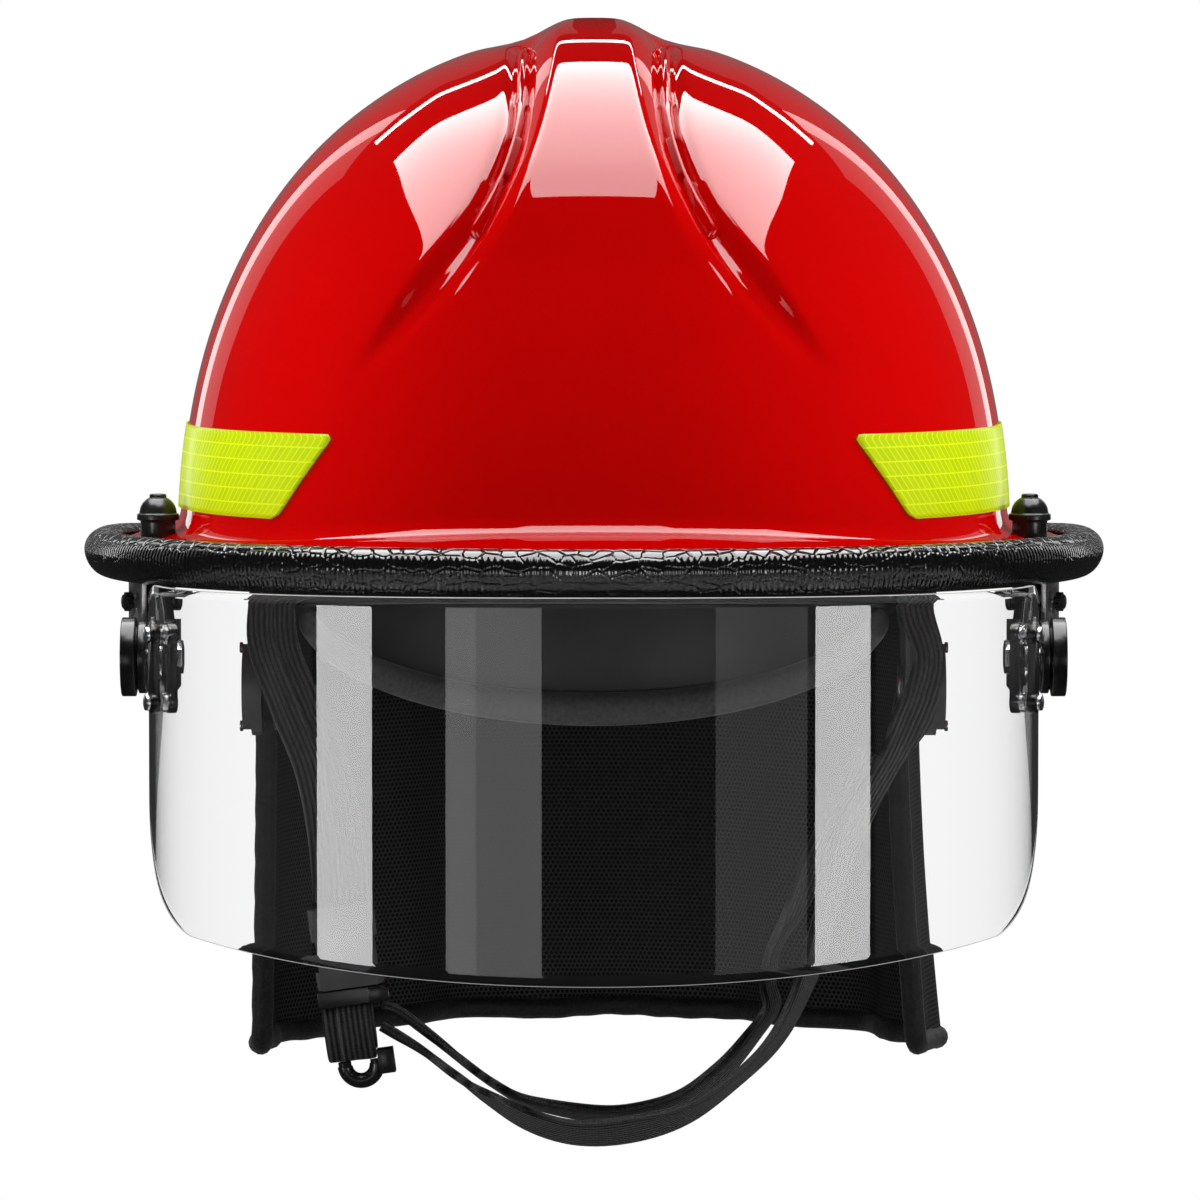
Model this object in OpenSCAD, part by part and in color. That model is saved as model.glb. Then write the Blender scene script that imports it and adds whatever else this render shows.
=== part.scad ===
// Traditional fire helmet: composite shell with a centre crest and a brim, flip-up visor,
// neck and ear cover, suspension with a ratchet, and chin strap.
// -Y is the front, +Z is up and +X is at the right as seen from the front.
// The origin is the centre of the head opening, in the plane of the brim's edge at the sides.

/* [Dome] */
// Room between the headband and the outside of the dome, at each side
dome_side = 37.25; // [36:0.25:42]
// Room between the headband and the outside of the dome, at the front and rear
dome_ends = 39.5; // [38:0.5:44]
// Height of the dome without its crest
dome_h = 144.5; // [135:0.5:155]
// How far the dome's centre lies behind the origin
dome_back = 9; // [4:0.5:14]
// Exponent of the dome's oval sections, 2 is an ellipse
dome_round = 2.2; // [2:0.05:2.5]
// Thickness of the shell
wall = 3; // [2.4:0.1:3.6]

/* [Crest] */
// Height of the centre crest above the dome
crest_h = 6; // [3:0.5:8]
// Half-width of the crest's flat top at the crown
crest_top = 10; // [8:0.5:14]
// Width of the sloping face beside the crest's flat top
crest_side = 8.5; // [6:0.5:11]
// How far the crest's flat top widens towards the forehead
crest_flare = 15.5; // [8:0.5:20]
// Half-distance between the raised side panels at the crown
panel_gap = 24; // [20:0.5:30]
// How far the raised side panels stand up at their inner edge
panel_h = 2.6; // [1:0.1:4]
// Depth of the valley between the crest and the side panels
valley_d = 1.4; // [0.5:0.1:1.6]

/* [Brim] */
// Reach of the brim's edge trim beside the dome
brim_side = 26.75; // [25:0.25:30]
// Reach of the brim's edge trim in front of the origin
brim_front = 160; // [150:1:168]
// Reach of the brim's edge trim behind the origin
brim_rear = 180; // [170:1:195]
// How far the widest place of the brim lies behind the origin
brim_back = 10; // [6:0.5:14]
// Narrowing of the brim towards the front, as a share of its width
brim_taper = 0.125; // [0.1:0.005:0.15]
// Slope of the brim in degrees
brim_slope = 16.5; // [12:0.5:20]
// How far the brim's edge lies below the origin at the sides
brim_low = 1.4; // [0:0.2:3]
// How far the brim's edge rises towards the front
front_rise = 1.8; // [0:0.2:4]
// How far the brim's edge dips towards the rear
rear_dip = 13; // [5:0.5:20]
// Size of the fillet between brim and dome
brim_fillet = 4; // [2:0.5:6]

/* [Edge trim] */
// Height of the trim roll
trim_h = 11; // [9:0.5:12]
// Depth of the trim roll from its outer edge to its lip
trim_d = 11.5; // [10:0.5:12.5]
// Thickness of the trim at its lips
trim_lip = 1.1; // [0.8:0.1:1.6]
// Depth of rubber outside the brim's edge
trim_nose = 3.4; // [2.5:0.1:4.5]

/* [Reflective tape] */
// Height of the tape's lower edge
tape_z = 12.8; // [12.6:0.2:16]
// Height of the tape measured up the dome
tape_h = 23.2; // [16:0.2:26]
// Thickness of the tape
tape_t = 0.6; // [0.3:0.1:1]

/* [Liner and suspension] */
// Gap between the shell and the impact liner
liner_gap = 1.3; // [1.2:0.1:1.8]
// Thickness of the impact liner
liner_t = 18; // [14:1:22]
// Height of the liner's lower edge
liner_z = 15.7; // [15:0.1:20]
// Thickness of the ring that carries the suspension
ring_t = 3; // [2:0.5:4]
// Inner width of the headband
head_w = 160; // [150:1:164]
// Inner length of the headband
head_l = 196; // [188:1:200]
// How far the headband's centre lies behind the origin
head_back = 4; // [2:0.5:6]
// Thickness of the headband
band_t = 2; // [1.5:0.1:2.4]
// Height of the headband's upper edge
band_top = 34; // [28:1:38]
// Height of the headband's lower edge
band_low = -4; // [-6:0.5:0]
// Width of a crown strap
crown_w = 19; // [16:1:22]
// Thickness of a crown strap
crown_t = 1.4; // [1:0.1:1.8]
// Height of the upper crown strap at the crown
crown_z = 101; // [96:0.5:104]
// Thickness of the crown pad
crown_pad_t = 8; // [5:0.5:10]
// Radius of the crown pad
crown_pad_r = 34; // [28:1:36]
// Thickness of the brow pad
brow_pad_t = 7; // [5:0.5:9]

/* [Nape cradle] */
// Room between the headband and the outside of the cradle
cradle_room = 9; // [7.5:0.25:9.5]
// How far the cradle reaches behind the headband
cradle_behind = 4; // [3:0.5:6]
// Thickness of the cradle's wall
cradle_t = 2.8; // [2:0.1:3.4]
// Lowest point of the nape pad
nape_z = -60.5; // [-64:0.5:-56]
// Rise of the nape pad for each millimetre forward
nape_rise = 0.43; // [0.36:0.01:0.48]
// Height of the nape pad
nape_pad_h = 11; // [9:0.5:13]
// Thickness of the nape pad
nape_pad_t = 9; // [6:0.5:11]
// Height of the cradle's band above the pad
cradle_h = 34; // [30:0.5:38]
// Upper limit of the cradle
cradle_top = 0; // [-4:0.5:1]
// How far the cradle's pivots lie in front of the origin
pivot_front = 41; // [39:0.5:43]
// Height of the cradle's pivots
pivot_z = -36; // [-38:0.5:-34]
// Radius of the cradle's pivot pins
pivot_r = 3; // [2.5:0.1:3.5]
// Radius of the pivot discs
disc_r = 13.5; // [12:0.5:13.5]
// Radius of the ratchet's pinion
pinion_r = 3.3; // [3:0.1:3.6]
// Radius of the ratchet knob
ratchet_r = 16; // [13:0.5:18]
// Thickness of the ratchet knob
ratchet_t = 9.5; // [7:0.5:10]
// Height of a rack strap
rack_h = 5; // [4:0.5:5.5]
// Thickness of a rack strap
rack_t = 1.6; // [1.2:0.1:2]

/* [Neck cover] */
// Gap between the cradle and the cover at the sides
cover_gap = 5.4; // [5.2:0.2:9]
// How much wider the hem is than the top, on each side
cover_flare = 3.5; // [-1:0.5:6]
// How far the hem hangs in front of the top at the rear
cover_tuck = 15; // [8:1:20]
// How far the cover's middle lies behind the origin
cover_back = 12; // [8:0.5:16]
// Height of the hem's lower edge at the rear
cover_low = -150.6; // [-158:0.2:-140]
// How much higher the hem's lower edge is at its front ends
cover_rise = 6; // [0:0.5:12]
// Thickness of the cover
cover_t = 2.4; // [1.8:0.1:3]
// Depth of the main folds at the hem
fold_d = 3.2; // [1:0.2:4]
// Count of main folds round the cover
folds = 8; // [6:1:10]
// Diameter of the bound edge
binding_d = 6.4; // [5:0.2:7.6]

/* [Visor] */
// How far the visor's pivots lie inside the widest place of the brim
visor_inset = 24; // [23:0.25:25]
// Reach of the visor in front of the origin
visor_front = 178; // [174:0.2:182]
// Exponent of the visor's curve, 2 is an ellipse
visor_round = 2.5; // [2.4:0.02:2.8]
// Thickness of the visor
visor_t = 1.5; // [1.2:0.1:2]
// Height of the visor's upper edge
ear_top = -7.7; // [-9:0.1:-7.5]
// How far the visor's upper edge rises over its ears
visor_rise = 4.1; // [2:0.1:5]
// Height of the visor from its upper to its lower edge
visor_h = 97; // [92:0.1:104]
// Radius of the lower edge's curve, seen from the front
visor_sag_r = 600; // [420:10:900]
// Radius of the visor's lower corners, seen from the side
visor_corner = 60; // [46:1:70]
// Radius of the ear round each pivot
visor_ear = 16.7; // [15:0.1:16.7]
// How far the visor's pivots lie in front of the origin
hinge_front = 92; // [91:0.5:94]

/* [Visor hardware] */
// Thickness of the bracket
bracket_t = 2.5; // [2:0.1:3]
// Radius of the bracket's end round the pivot
bracket_r = 10.2; // [9:0.1:11]
// How far the brim bolts lie in front of the origin
bolt_front = 35; // [32:0.5:38]
// Gap between the trim's lip and the cap nut's collar
cap_gap = 0.7; // [0.6:0.1:1.5]
// Radius of the brim bolts
bolt_r = 2.5; // [2:0.1:3]
// Radius of the cap nut on the brim
cap_r = 4.9; // [4.5:0.1:5.2]
// Height of the cap nut
cap_h = 12; // [9:0.5:13]
// Radius of the visor's pivot bolt
hinge_r = 2.5; // [2.2:0.1:2.8]
// Radius of the bush that the visor turns on
bush_r = 4; // [3.6:0.1:4.4]
// Radius of the friction knob
knob_r = 10.7; // [10:0.1:11.4]
// Thickness of the friction knob's rim
knob_t = 4.6; // [4:0.2:6]
// Radius of the clamp screws
clamp_screw_r = 1.5; // [1.2:0.1:1.6]
// Spacing of the clamp screws
clamp_pitch = 18; // [16:0.1:19]
// Thickness of the inner clamp plate
inner_plate_t = 2.2; // [1.8:0.1:3]
// Thickness of the outer clamp plate
outer_plate_t = 2.2; // [1.8:0.1:2.6]
// Radius of the accessory hole in the bracket tab
tab_hole_r = 1.6; // [1.2:0.1:1.8]

/* [Chin strap] */
// How far forward the strap's anchor pins lie, as a share of the dome's half length
anchor_share = 0.54545; // [0.53:0.00005:0.56]
// Height of the anchor pins
anchor_z = -2; // [-4:0.5:0]
// Radius of the anchor pins
anchor_r = 2; // [1.6:0.1:2.4]
// Width of the webbing in its loops
loop_w = 12; // [10:0.5:12.5]
// Width of the lower webbing
web_w = 17; // [14:0.5:20]
// Thickness of the webbing
web_t = 2; // [1.6:0.1:2.4]
// Width of the buckle body
buckle_w = 18.6; // [18:0.2:20.4]
// Height of the buckle body
buckle_h = 22.5; // [21:0.5:26]
// Thickness of the buckle body
buckle_t = 8; // [7:0.2:9]

/* [Hidden] */
$fn = 48;

// Clearances
seat = 0.3;
fit = 0.05;
hole_clear = 0.25;

// The dome, the brim, the cradle and the visor follow from the headband
dome_w = head_w + 2 * dome_side;
dome_l = head_l + 2 * dome_ends;
brim_w = dome_w + 2 * brim_side;
cradle_r = head_w / 2 + cradle_room;
cradle_back = head_back + head_l / 2 + cradle_behind - cradle_r;
anchor_front = anchor_share * dome_l / 2 - dome_back;
visor_w = brim_w / 2 - visor_inset;

red = "#d20a0a";
black = "#1c1c1e";
soft_black = "#151516";
lime = "#c6e02c";
clear = [0.85, 0.88, 0.9, 0.35];
steel = "#b9bcc0";

function spow(v, p) = sign(v) * pow(abs(v), p);
function unit(v) = v / norm(v);
function clamp01(v) = min(1, max(0, v));
function smooth(v) = let (u = clamp01(v)) u * u * (3 - 2 * u);
function mix(a, b, u) = a * (1 - u) + b * u;
function cat(lists) = [for (l = lists) for (v = l) v];

// One closed skin over rings that all have the same count of points. With loop the last ring
// meets the first, and otherwise each end is closed by a fan, to a tip where one is given.
// With even the faces of the two halves of each ring mirror one another.
module skin(rings, loop = false, tip_a = undef, tip_b = undef, even = false) {
    n = len(rings);
    m = len(rings[0]);
    body = [for (k = [0:n - (loop ? 1 : 2)]) for (i = [0:m - 1])
        let (a = k * m + i, b = k * m + (i + 1) % m, c = ((k + 1) % n) * m + (i + 1) % m,
            d = ((k + 1) % n) * m + i, other = even && i >= m / 4 && i < 3 * m / 4)
        each other ? [[a, b, d], [b, c, d]] : [[a, b, c], [a, c, d]]];
    last = (n - 1) * m;
    end_a = loop ? [] : is_undef(tip_a) ? [for (i = [1:m - 2]) [0, i + 1, i]]
        : [for (i = [0:m - 1]) [n * m, (i + 1) % m, i]];
    end_b = loop ? [] : is_undef(tip_b) ? [for (i = [1:m - 2]) [last, last + i, last + i + 1]]
        : [for (i = [0:m - 1]) [n * m + 1, last + i, last + (i + 1) % m]];
    tips = is_undef(tip_a) ? [] : [tip_a, tip_b];
    polyhedron(points = concat(cat(rings), tips), faces = concat(body, end_a, end_b), convexity = 8);
}

module both_sides() {
    children();
    mirror([1, 0, 0]) children();
}

// The dome and the brim as functions of the turn t, which starts at +X and runs to the rear.
// The turns lie closer together at the front and rear, where the crest ends.
around = 80;
quarter = around / 4;
crowding = 12;
turns = [for (i = [0:around - 1]) let (u = 360 * i / around) u + crowding * sin(2 * u)];

function dome_plan(t, off) = [
    (dome_w / 2 - off) * spow(cos(t), 2 / dome_round),
    dome_back + (dome_l / 2 - off) * spow(sin(t), 2 / dome_round)];
function dome_scale(z, off) = pow(1 - pow(clamp01(z / (dome_h - off)), dome_round), 1 / dome_round);
function dome_pt(t, z, off) = let (p = dome_plan(t, off), s = dome_scale(z, off))
    [p.x * s, dome_back + (p.y - dome_back) * s, z];
function dome_normal(p) = unit([p.x / pow(dome_w / 2, 2), (p.y - dome_back) / pow(dome_l / 2, 2),
    max(0, p.z) / pow(dome_h, 2)]);

function brim_narrow(t) = sin(t) < 0 ? 1 - brim_taper * pow(sin(t), 2) : 1;
function brim_plan(t) = [brim_w / 2 * cos(t) * brim_narrow(t),
    brim_back + (sin(t) < 0 ? brim_front + brim_back : brim_rear - brim_back) * sin(t)];
function brim_z(t) = -brim_low + (sin(t) < 0 ? front_rise : -rear_dip) * pow(sin(t), 2);
function brim_way(t) = unit(dome_plan(t, 0) - brim_plan(t));
function brim_pt(t, d, h) = let (p = brim_plan(t), w = brim_way(t),
    s = d * cos(brim_slope) - h * sin(brim_slope))
    [p.x + w.x * s, p.y + w.y * s, brim_z(t) + d * sin(brim_slope) + h * cos(brim_slope)];

// Depth along the brim at which its face at height h meets the dome's wall
function brim_reach(t, off, h) =
    (norm(dome_plan(t, off) - brim_plan(t)) + h * sin(brim_slope)) / cos(brim_slope);

// The crest, its valleys and the raised side panels, as a height over the dome
crest_reach = 136;
function crest_flat_x(z) = crest_top + crest_flare * pow(max(0, crest_reach - z) / 50, 2);
function panel_x(z) = let (t = (125 - z) / 43)
    panel_gap + (t < 0 ? 0 : t < 1 ? 20 * t * t : 20 * (1 + (t - 1) * 1.6));
panel_rise = 3;
function crest_over(x, z) =
    let (ax = abs(x),
        foot_x = crest_flat_x(z) + crest_side,
        from_panel = ax - panel_x(z),
        crest = crest_h * smooth((z - 78) / 28) * clamp01((foot_x - ax) / crest_side),
        low = smooth((z - 48) / 30),
        edge = clamp01((from_panel + panel_rise) / panel_rise),
        valley = -valley_d * low * (1 - edge) * clamp01((ax - foot_x + 4) / 4),
        tall = panel_h * (1 - 0.6 * smooth((z - 112) / 24)),
        panel = tall * low * edge * (1 - smooth(from_panel / 42)))
    crest + valley + panel;

// Columns of points follow the lines of the crest high up and are even low down
function crest_lines(z) = let (f = crest_flat_x(z), p = panel_x(z), m = p - panel_rise)
    [0, f / 2, f, f + crest_side, mix(f + crest_side, m, 0.5), m, p, p + 9];
function crest_turn(c, z, half) = c > 7 ? mix(crest_turn(7, z, half), 90, (c - 7) / (quarter - 7))
    : min(asin(pow(min(1, crest_lines(z)[c] / half), dome_round / 2)), 11 * c);
function column_turn(k, z, off) =
    let (c = abs(k % (2 * quarter) - quarter),
        u = 90 * c / quarter,
        even = u - crowding * sin(2 * u),
        follow = smooth((z - 36) / 34),
        half = (dome_w / 2 - off) * dome_scale(z, off),
        e = follow > 0 ? mix(even, crest_turn(c, z, half), follow) : even)
    (k < 2 * quarter ? 90 : 270) + (k % (2 * quarter) < quarter ? -e : e);

// One column of the shell's outer or inner face, from the brim's edge up to the crown. The
// rings above the fillet are evenly spaced up to the first of the given half-widths.
edge_in = trim_nose + 0.4;
function shell_column(k, off, h, rings, halves) =
    let (t = turns[k],
        high = dome_h - off,
        q = dome_plan(t, off),
        reach = brim_reach(t, off, h),
        corner = [q.x, q.y, brim_z(t) + reach * sin(brim_slope) + h * cos(brim_slope)],
        foot = brim_pt(t, reach - brim_fillet, h),
        z2 = max(0.5, corner.z + brim_fillet),
        head = dome_pt(t, z2, off),
        tops = [for (w = halves) high * pow(1 - pow(w / (dome_w / 2), dome_round), 1 / dome_round)],
        from = asin(pow(z2 / high, dome_round / 2)),
        to = asin(pow(tops[0] / high, dome_round / 2)),
        levels = concat([for (j = [0:rings - 1]) high * pow(sin(mix(from, to, j / rings)), 2 / dome_round)],
            tops))
    concat([brim_pt(t, edge_in, h), brim_pt(t, mix(edge_in, reach, 0.5), h), foot],
        [for (u = [0.33, 0.67]) mix(mix(foot, corner, u), mix(corner, head, u), u)],
        [for (z = levels) let (p = dome_pt(column_turn(k, z, off), z, off))
            off > 0 ? p : p + dome_normal(p) * crest_over(p.x, p.z)]);

function flip(rings) = [for (i = [len(rings) - 1:-1:0]) rings[i]];
function rings_of(lines) = [for (k = [0:len(lines[0]) - 1]) [for (l = lines) l[k]]];

// Places its children on the brim's middle face: their X runs inwards, square to the brim's
// edge, and their Z is square to the brim
module on_brim(t, d) {
    p = brim_pt(t, d, 0);
    along = unit(brim_pt(t + 0.5, d, 0) - brim_pt(t - 0.5, d, 0));
    inward = brim_pt(t, d + 1, 0) - p;
    x = unit(inward - along * (inward * along));
    z = cross(x, along) * sign(cross(x, along).z);
    y = cross(z, x);
    multmatrix([[x.x, y.x, z.x, p.x], [x.y, y.y, z.y, p.y], [x.z, y.z, z.z, p.z], [0, 0, 0, 1]]) children();
}

bolt_turn = asin(-(bolt_front + brim_back) / (brim_front + brim_back));
bolt_in = trim_d + cap_r + 0.5 + cap_gap;

module outer_shell() {
    crest_foot = crest_top + crest_side;
    halves = [2 * panel_gap, 1.5 * panel_gap, panel_gap + 3, panel_gap - 0.5, crest_foot, crest_top];
    top = rings_of([for (k = [0:around - 1]) shell_column(k, 0, wall / 2, 11, halves)]);
    under = rings_of([for (k = [0:around - 1]) shell_column(k, wall, -wall / 2, 8, [40, 20])]);
    color(red) difference() {
        skin(concat(flip(top), under), tip_a = [0, dome_back, dome_h + crest_h],
            tip_b = [0, dome_back, dome_h - wall], even = true);
        both_sides() on_brim(bolt_turn, bolt_in)
            cylinder(r = bolt_r + hole_clear, h = 5 * wall, center = true);
    }
}

module edge_trim() {
    half = trim_h / 2;
    slot = wall / 2 + hole_clear;
    lip = slot + trim_lip;
    section = [[trim_d, slot], [trim_nose, slot], [trim_nose, -slot], [trim_d, -slot],
        [trim_d, -lip], [trim_d * 0.6, -half], [trim_d * 0.26, -half], [0, -half * 0.36],
        [0, half * 0.36], [trim_d * 0.26, half], [trim_d * 0.6, half], [trim_d, lip]];
    color(soft_black) skin([for (t = turns) [for (s = section) brim_pt(t, s.x, s.y)]], loop = true);
}

// A trapezoid on the dome, longer at its upper edge
tape_cells = 16;
tape_lift = 0.25;
tape_slant = 10;

module tape(from, to) {
    function rung(u, v, lift) =
        let (t = mix(from + tape_slant * (1 - v), to - tape_slant * (1 - v), u),
            p = dome_pt(t, tape_z + tape_h * v, 0))
        p + dome_normal(p) * lift;
    color(lime) skin([for (i = [0:tape_cells]) let (u = i / tape_cells)
        [rung(u, 0, tape_lift + tape_t), rung(u, 0.5, tape_lift + tape_t),
            rung(u, 1, tape_lift + tape_t), rung(u, 1, tape_lift), rung(u, 0.5, tape_lift),
            rung(u, 0, tape_lift)]]);
}

module tape_front_right() { tape(-55, 6); }
module tape_front_left() { mirror([1, 0, 0]) tape(-55, 6); }
module tape_rear_right() { tape(20, 80); }
module tape_rear_left() { mirror([1, 0, 0]) tape(20, 80); }

// The liner is a thick cap between the shell and the straps
liner_around = 48;
liner_off = wall + liner_gap;

module impact_liner() {
    function line(t, off) = let (high = dome_h - off, a0 = asin(pow(liner_z / high, dome_round / 2)))
        [for (j = [0:8]) let (a = mix(a0, 90, j / 9))
            dome_pt(t, high * pow(sin(a), 2 / dome_round), off)];
    spots = [for (i = [0:liner_around - 1]) 360 * i / liner_around];
    out = rings_of([for (t = spots) line(t, liner_off)]);
    in = rings_of([for (t = spots) line(t, liner_off + liner_t)]);
    color("#d9d2b8") skin(concat(flip(out), in), tip_a = [0, dome_back, dome_h - liner_off],
        tip_b = [0, dome_back, dome_h - liner_off - liner_t], even = true);
}

ring_z = liner_z - seat - ring_t;

function band_oval(grow) = [for (i = [0:71]) let (t = 5 * i)
    [(head_w / 2 + grow) * cos(t), head_back + (head_l / 2 + grow) * sin(t)]];

module suspension_ring() {
    color(black) translate([0, 0, ring_z]) linear_extrude(ring_t) difference() {
        polygon([for (t = turns) let (q = dome_pt(t, ring_z + ring_t, wall + 2 * seat)) [q.x, q.y]]);
        polygon(band_oval(band_t + 0.2));
    }
}

// The headband is open behind, where the rack straps carry on
headband_open = 56;

module headband() {
    color(black) translate([0, 0, band_low]) difference() {
        linear_extrude(band_top - band_low) difference() {
            polygon(band_oval(band_t));
            polygon(band_oval(0));
        }
        translate([-headband_open, head_back + 40, -1]) cube([2 * headband_open, head_l, band_top + 9]);
    }
}

brow_sweep = 62;

module brow_pad() {
    middle = (band_top + band_low) / 2;
    tall = band_top - band_low - 2;
    function crown(u) = pow(max(0, 1 - pow(abs(u), 6)), 0.25);
    color("#2a2a2c") skin([for (i = [0:20]) let (u = (i / 10 - 1) * 0.999,
        t = -90 + brow_sweep * u, fat = brow_pad_t * (0.45 + 0.55 * crown(u)), half = tall / 2 * (0.9 + 0.1 * crown(u)),
        a = head_w / 2 - seat, b = head_l / 2 - seat)
        [for (s = [[0, -0.8], [0, 0.8], [0.5, 1], [0.9, 0.75], [1, 0], [0.9, -0.75], [0.5, -1]])
            [(a - fat * s.x) * cos(t), head_back + (b - fat * s.x) * sin(t), middle + half * s.y]]]);
}

// A crown strap is an arc that rises from the ring on both sides to the crown
strap_in = 3.2;
strap_foot = ring_z + ring_t + 2 * seat;

module crown_strap(turn, drop) {
    foot = dome_pt(turn, strap_foot, liner_off + liner_t + strap_in);
    half = norm([foot.x, foot.y - dome_back]);
    rise = crown_z - drop - strap_foot;
    r = (half * half + rise * rise) / (2 * rise);
    sweep = acos((r - rise) / r);
    way = atan2(foot.y - dome_back, foot.x);
    translate([0, dome_back, crown_z - drop - r]) rotate([0, 0, way]) rotate([90, 0, 0])
        rotate([0, 0, 90 - sweep]) rotate_extrude(angle = 2 * sweep, $fn = 96)
        translate([r - crown_t, -crown_w / 2]) square([crown_t, crown_w]);
}

strap_step = 2.6;
module crown_strap_cross() { color("#3a3a3c") crown_strap(0, 0); }
module crown_strap_left() { color("#3a3a3c") crown_strap(128, strap_step); }
module crown_strap_right() { color("#3a3a3c") crown_strap(52, 2 * strap_step); }

// The pad bends more than the straps that it hangs from
crown_curve = 80;

module crown_pad() {
    top = crown_z - 2 * strap_step - crown_t - seat;
    color("#2a2a2c") translate([0, dome_back, top - crown_pad_t])
        skin([for (s = [[0.82, 0.02], [0.96, 0.2], [1, 0.5], [0.95, 0.78], [0.8, 0.9]])
            [for (i = [0:23]) let (t = -15 * i, r = crown_pad_r * s.x)
                [r * cos(t), r * sin(t), crown_pad_t * s.y - r * r / (2 * crown_curve)]]],
            tip_a = [0, 0, 0], tip_b = [0, 0, crown_pad_t * 0.93]);
}

// Side arms hang from the ring and carry the cradle's pivots
arm_x = cradle_r + seat;
arm_t = 2.5;
arm_w = 20;
pin_y = -pivot_front;

module side_arms() {
    color(black) both_sides() difference() {
        union() {
            translate([arm_x, pin_y, pivot_z]) rotate([0, 90, 0]) cylinder(r = arm_w / 2, h = arm_t);
            translate([arm_x, pin_y - arm_w / 2, pivot_z])
                cube([arm_t, arm_w, ring_z - seat - pivot_z]);
            translate([arm_x - 8, pin_y - arm_w / 2, ring_z - seat - arm_t])
                cube([8 + arm_t, arm_w, arm_t]);
        }
        translate([arm_x, pin_y, pivot_z]) rotate([0, 90, 0])
            cylinder(r = pivot_r + hole_clear, h = 3 * arm_t, center = true);
    }
}

// The stepped disc and its pin are one moulding
disc_x = arm_x + arm_t + seat;
disc_t = 5.6;
washer_t = 1.4;

module pivot_discs() {
    color(black) both_sides() translate([0, pin_y, pivot_z]) rotate([0, 90, 0]) {
        translate([0, 0, disc_x]) difference() {
            union() {
                cylinder(r = disc_r, h = disc_t * 0.55);
                cylinder(r = disc_r - 1.6, h = disc_t);
            }
            translate([0, 0, disc_t - 1]) difference() {
                cylinder(r = disc_r - 3.4, h = 2);
                cylinder(r = 5, h = 5, center = true);
            }
            for (s = [-1, 1]) translate([s * (disc_r - 2.6), 0, -1]) cylinder(r = 0.85, h = 9);
        }
        translate([0, 0, disc_x - arm_t - cradle_t - washer_t - 3 * seat])
            cylinder(r = pivot_r, h = arm_t + cradle_t + washer_t + 4 * seat);
    }
}

module disc_screws() {
    color(steel) both_sides() translate([0, pin_y, pivot_z]) rotate([0, 90, 0])
        for (s = [-1, 1]) translate([s * (disc_r - 2.6), 0, disc_x + 0.2]) {
            cylinder(r = 0.8, h = disc_t);
            translate([0, 0, disc_t - 0.1]) cylinder(r = 1.5, h = 1);
        }
}

module pivot_washers() {
    color(steel) both_sides() translate([cradle_r - cradle_t - washer_t - seat, pin_y, pivot_z])
        rotate([0, 90, 0]) difference() {
            cylinder(r = 6, h = washer_t);
            cylinder(r = pivot_r + fit, h = 9, center = true);
        }
}

// The cradle is a U in plan, cut to a band that drops to the nape
cradle_front = pin_y - 12;
cradle_rear = cradle_back + cradle_r;
function nape_low(y) = nape_z + nape_rise * (cradle_rear - y);

module cradle_plan(grow) {
    translate([0, cradle_back]) circle(r = cradle_r + grow, $fn = 120);
    translate([-cradle_r - grow, cradle_front - 1])
        square([2 * (cradle_r + grow), cradle_back - cradle_front + 1]);
}

module nape_cradle() {
    low_rear = nape_z + nape_pad_h + seat;
    tab = 12;
    side = concat([[cradle_front, cradle_top]],
        [for (a = [180:15:330]) [pin_y + tab * cos(a), pivot_z + tab * sin(a)]],
        [[pin_y + tab + 12, -22], [24, nape_low(24) + nape_pad_h + seat],
        [cradle_rear + 1, low_rear - nape_rise], [cradle_rear + 1, low_rear + cradle_h],
        [cradle_rear - 46, cradle_top]]);
    color(black) difference() {
        intersection() {
            translate([0, 0, nape_z - 9]) linear_extrude(90) difference() {
                cradle_plan(0);
                cradle_plan(-cradle_t);
                translate([-200, cradle_front - 50]) square([400, 50]);
            }
            rotate([90, 0, 90]) translate([0, 0, -150]) linear_extrude(300) polygon(side);
        }
        translate([0, pin_y, pivot_z]) rotate([0, 90, 0])
            cylinder(r = pivot_r + fit, h = 400, center = true);
    }
}

nape_from = 12;

module nape_pad() {
    r = cradle_r - 2.2;
    section = [for (a = [0:45:315]) [nape_pad_t / 2 * cos(a), nape_pad_h / 2 * sin(a)]];
    color("#232325") skin([for (i = [0:26]) let (t = mix(-nape_from + 20, 180 + nape_from - 20, i / 26),
        fat = 0.6 + 0.4 * pow(max(0, sin(180 * clamp01(mix(0.02, 0.98, i / 26)))), 0.4),
        c = [(r - nape_pad_t / 2 + 1) * cos(t), cradle_back + (r - nape_pad_t / 2 + 1) * sin(t)],
        z = nape_low(c.y) + nape_pad_h / 2)
        [for (s = section) [c.x + cos(t) * s.x * fat, c.y + sin(t) * s.x * fat, z + s.y * fat]]]);
}

// Ratchet at the nape: the knob's pinion drives an upper and a lower rack strap
ratchet_z = (nape_z + nape_pad_h + nape_z + nape_pad_h + cradle_h) / 2;
rack_r = cradle_r + 4.2;
house_half = 25;
house_h = 23;
house_back = cradle_rear + 10.4;
rack_gap = pinion_r + seat;

module rack_arc(from, to, grow) {
    rotate([0, 0, from]) rotate_extrude(angle = to - from, $fn = 120)
        translate([rack_r - grow, -grow]) square([rack_t + 2 * grow, rack_h + 2 * grow]);
}

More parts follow.
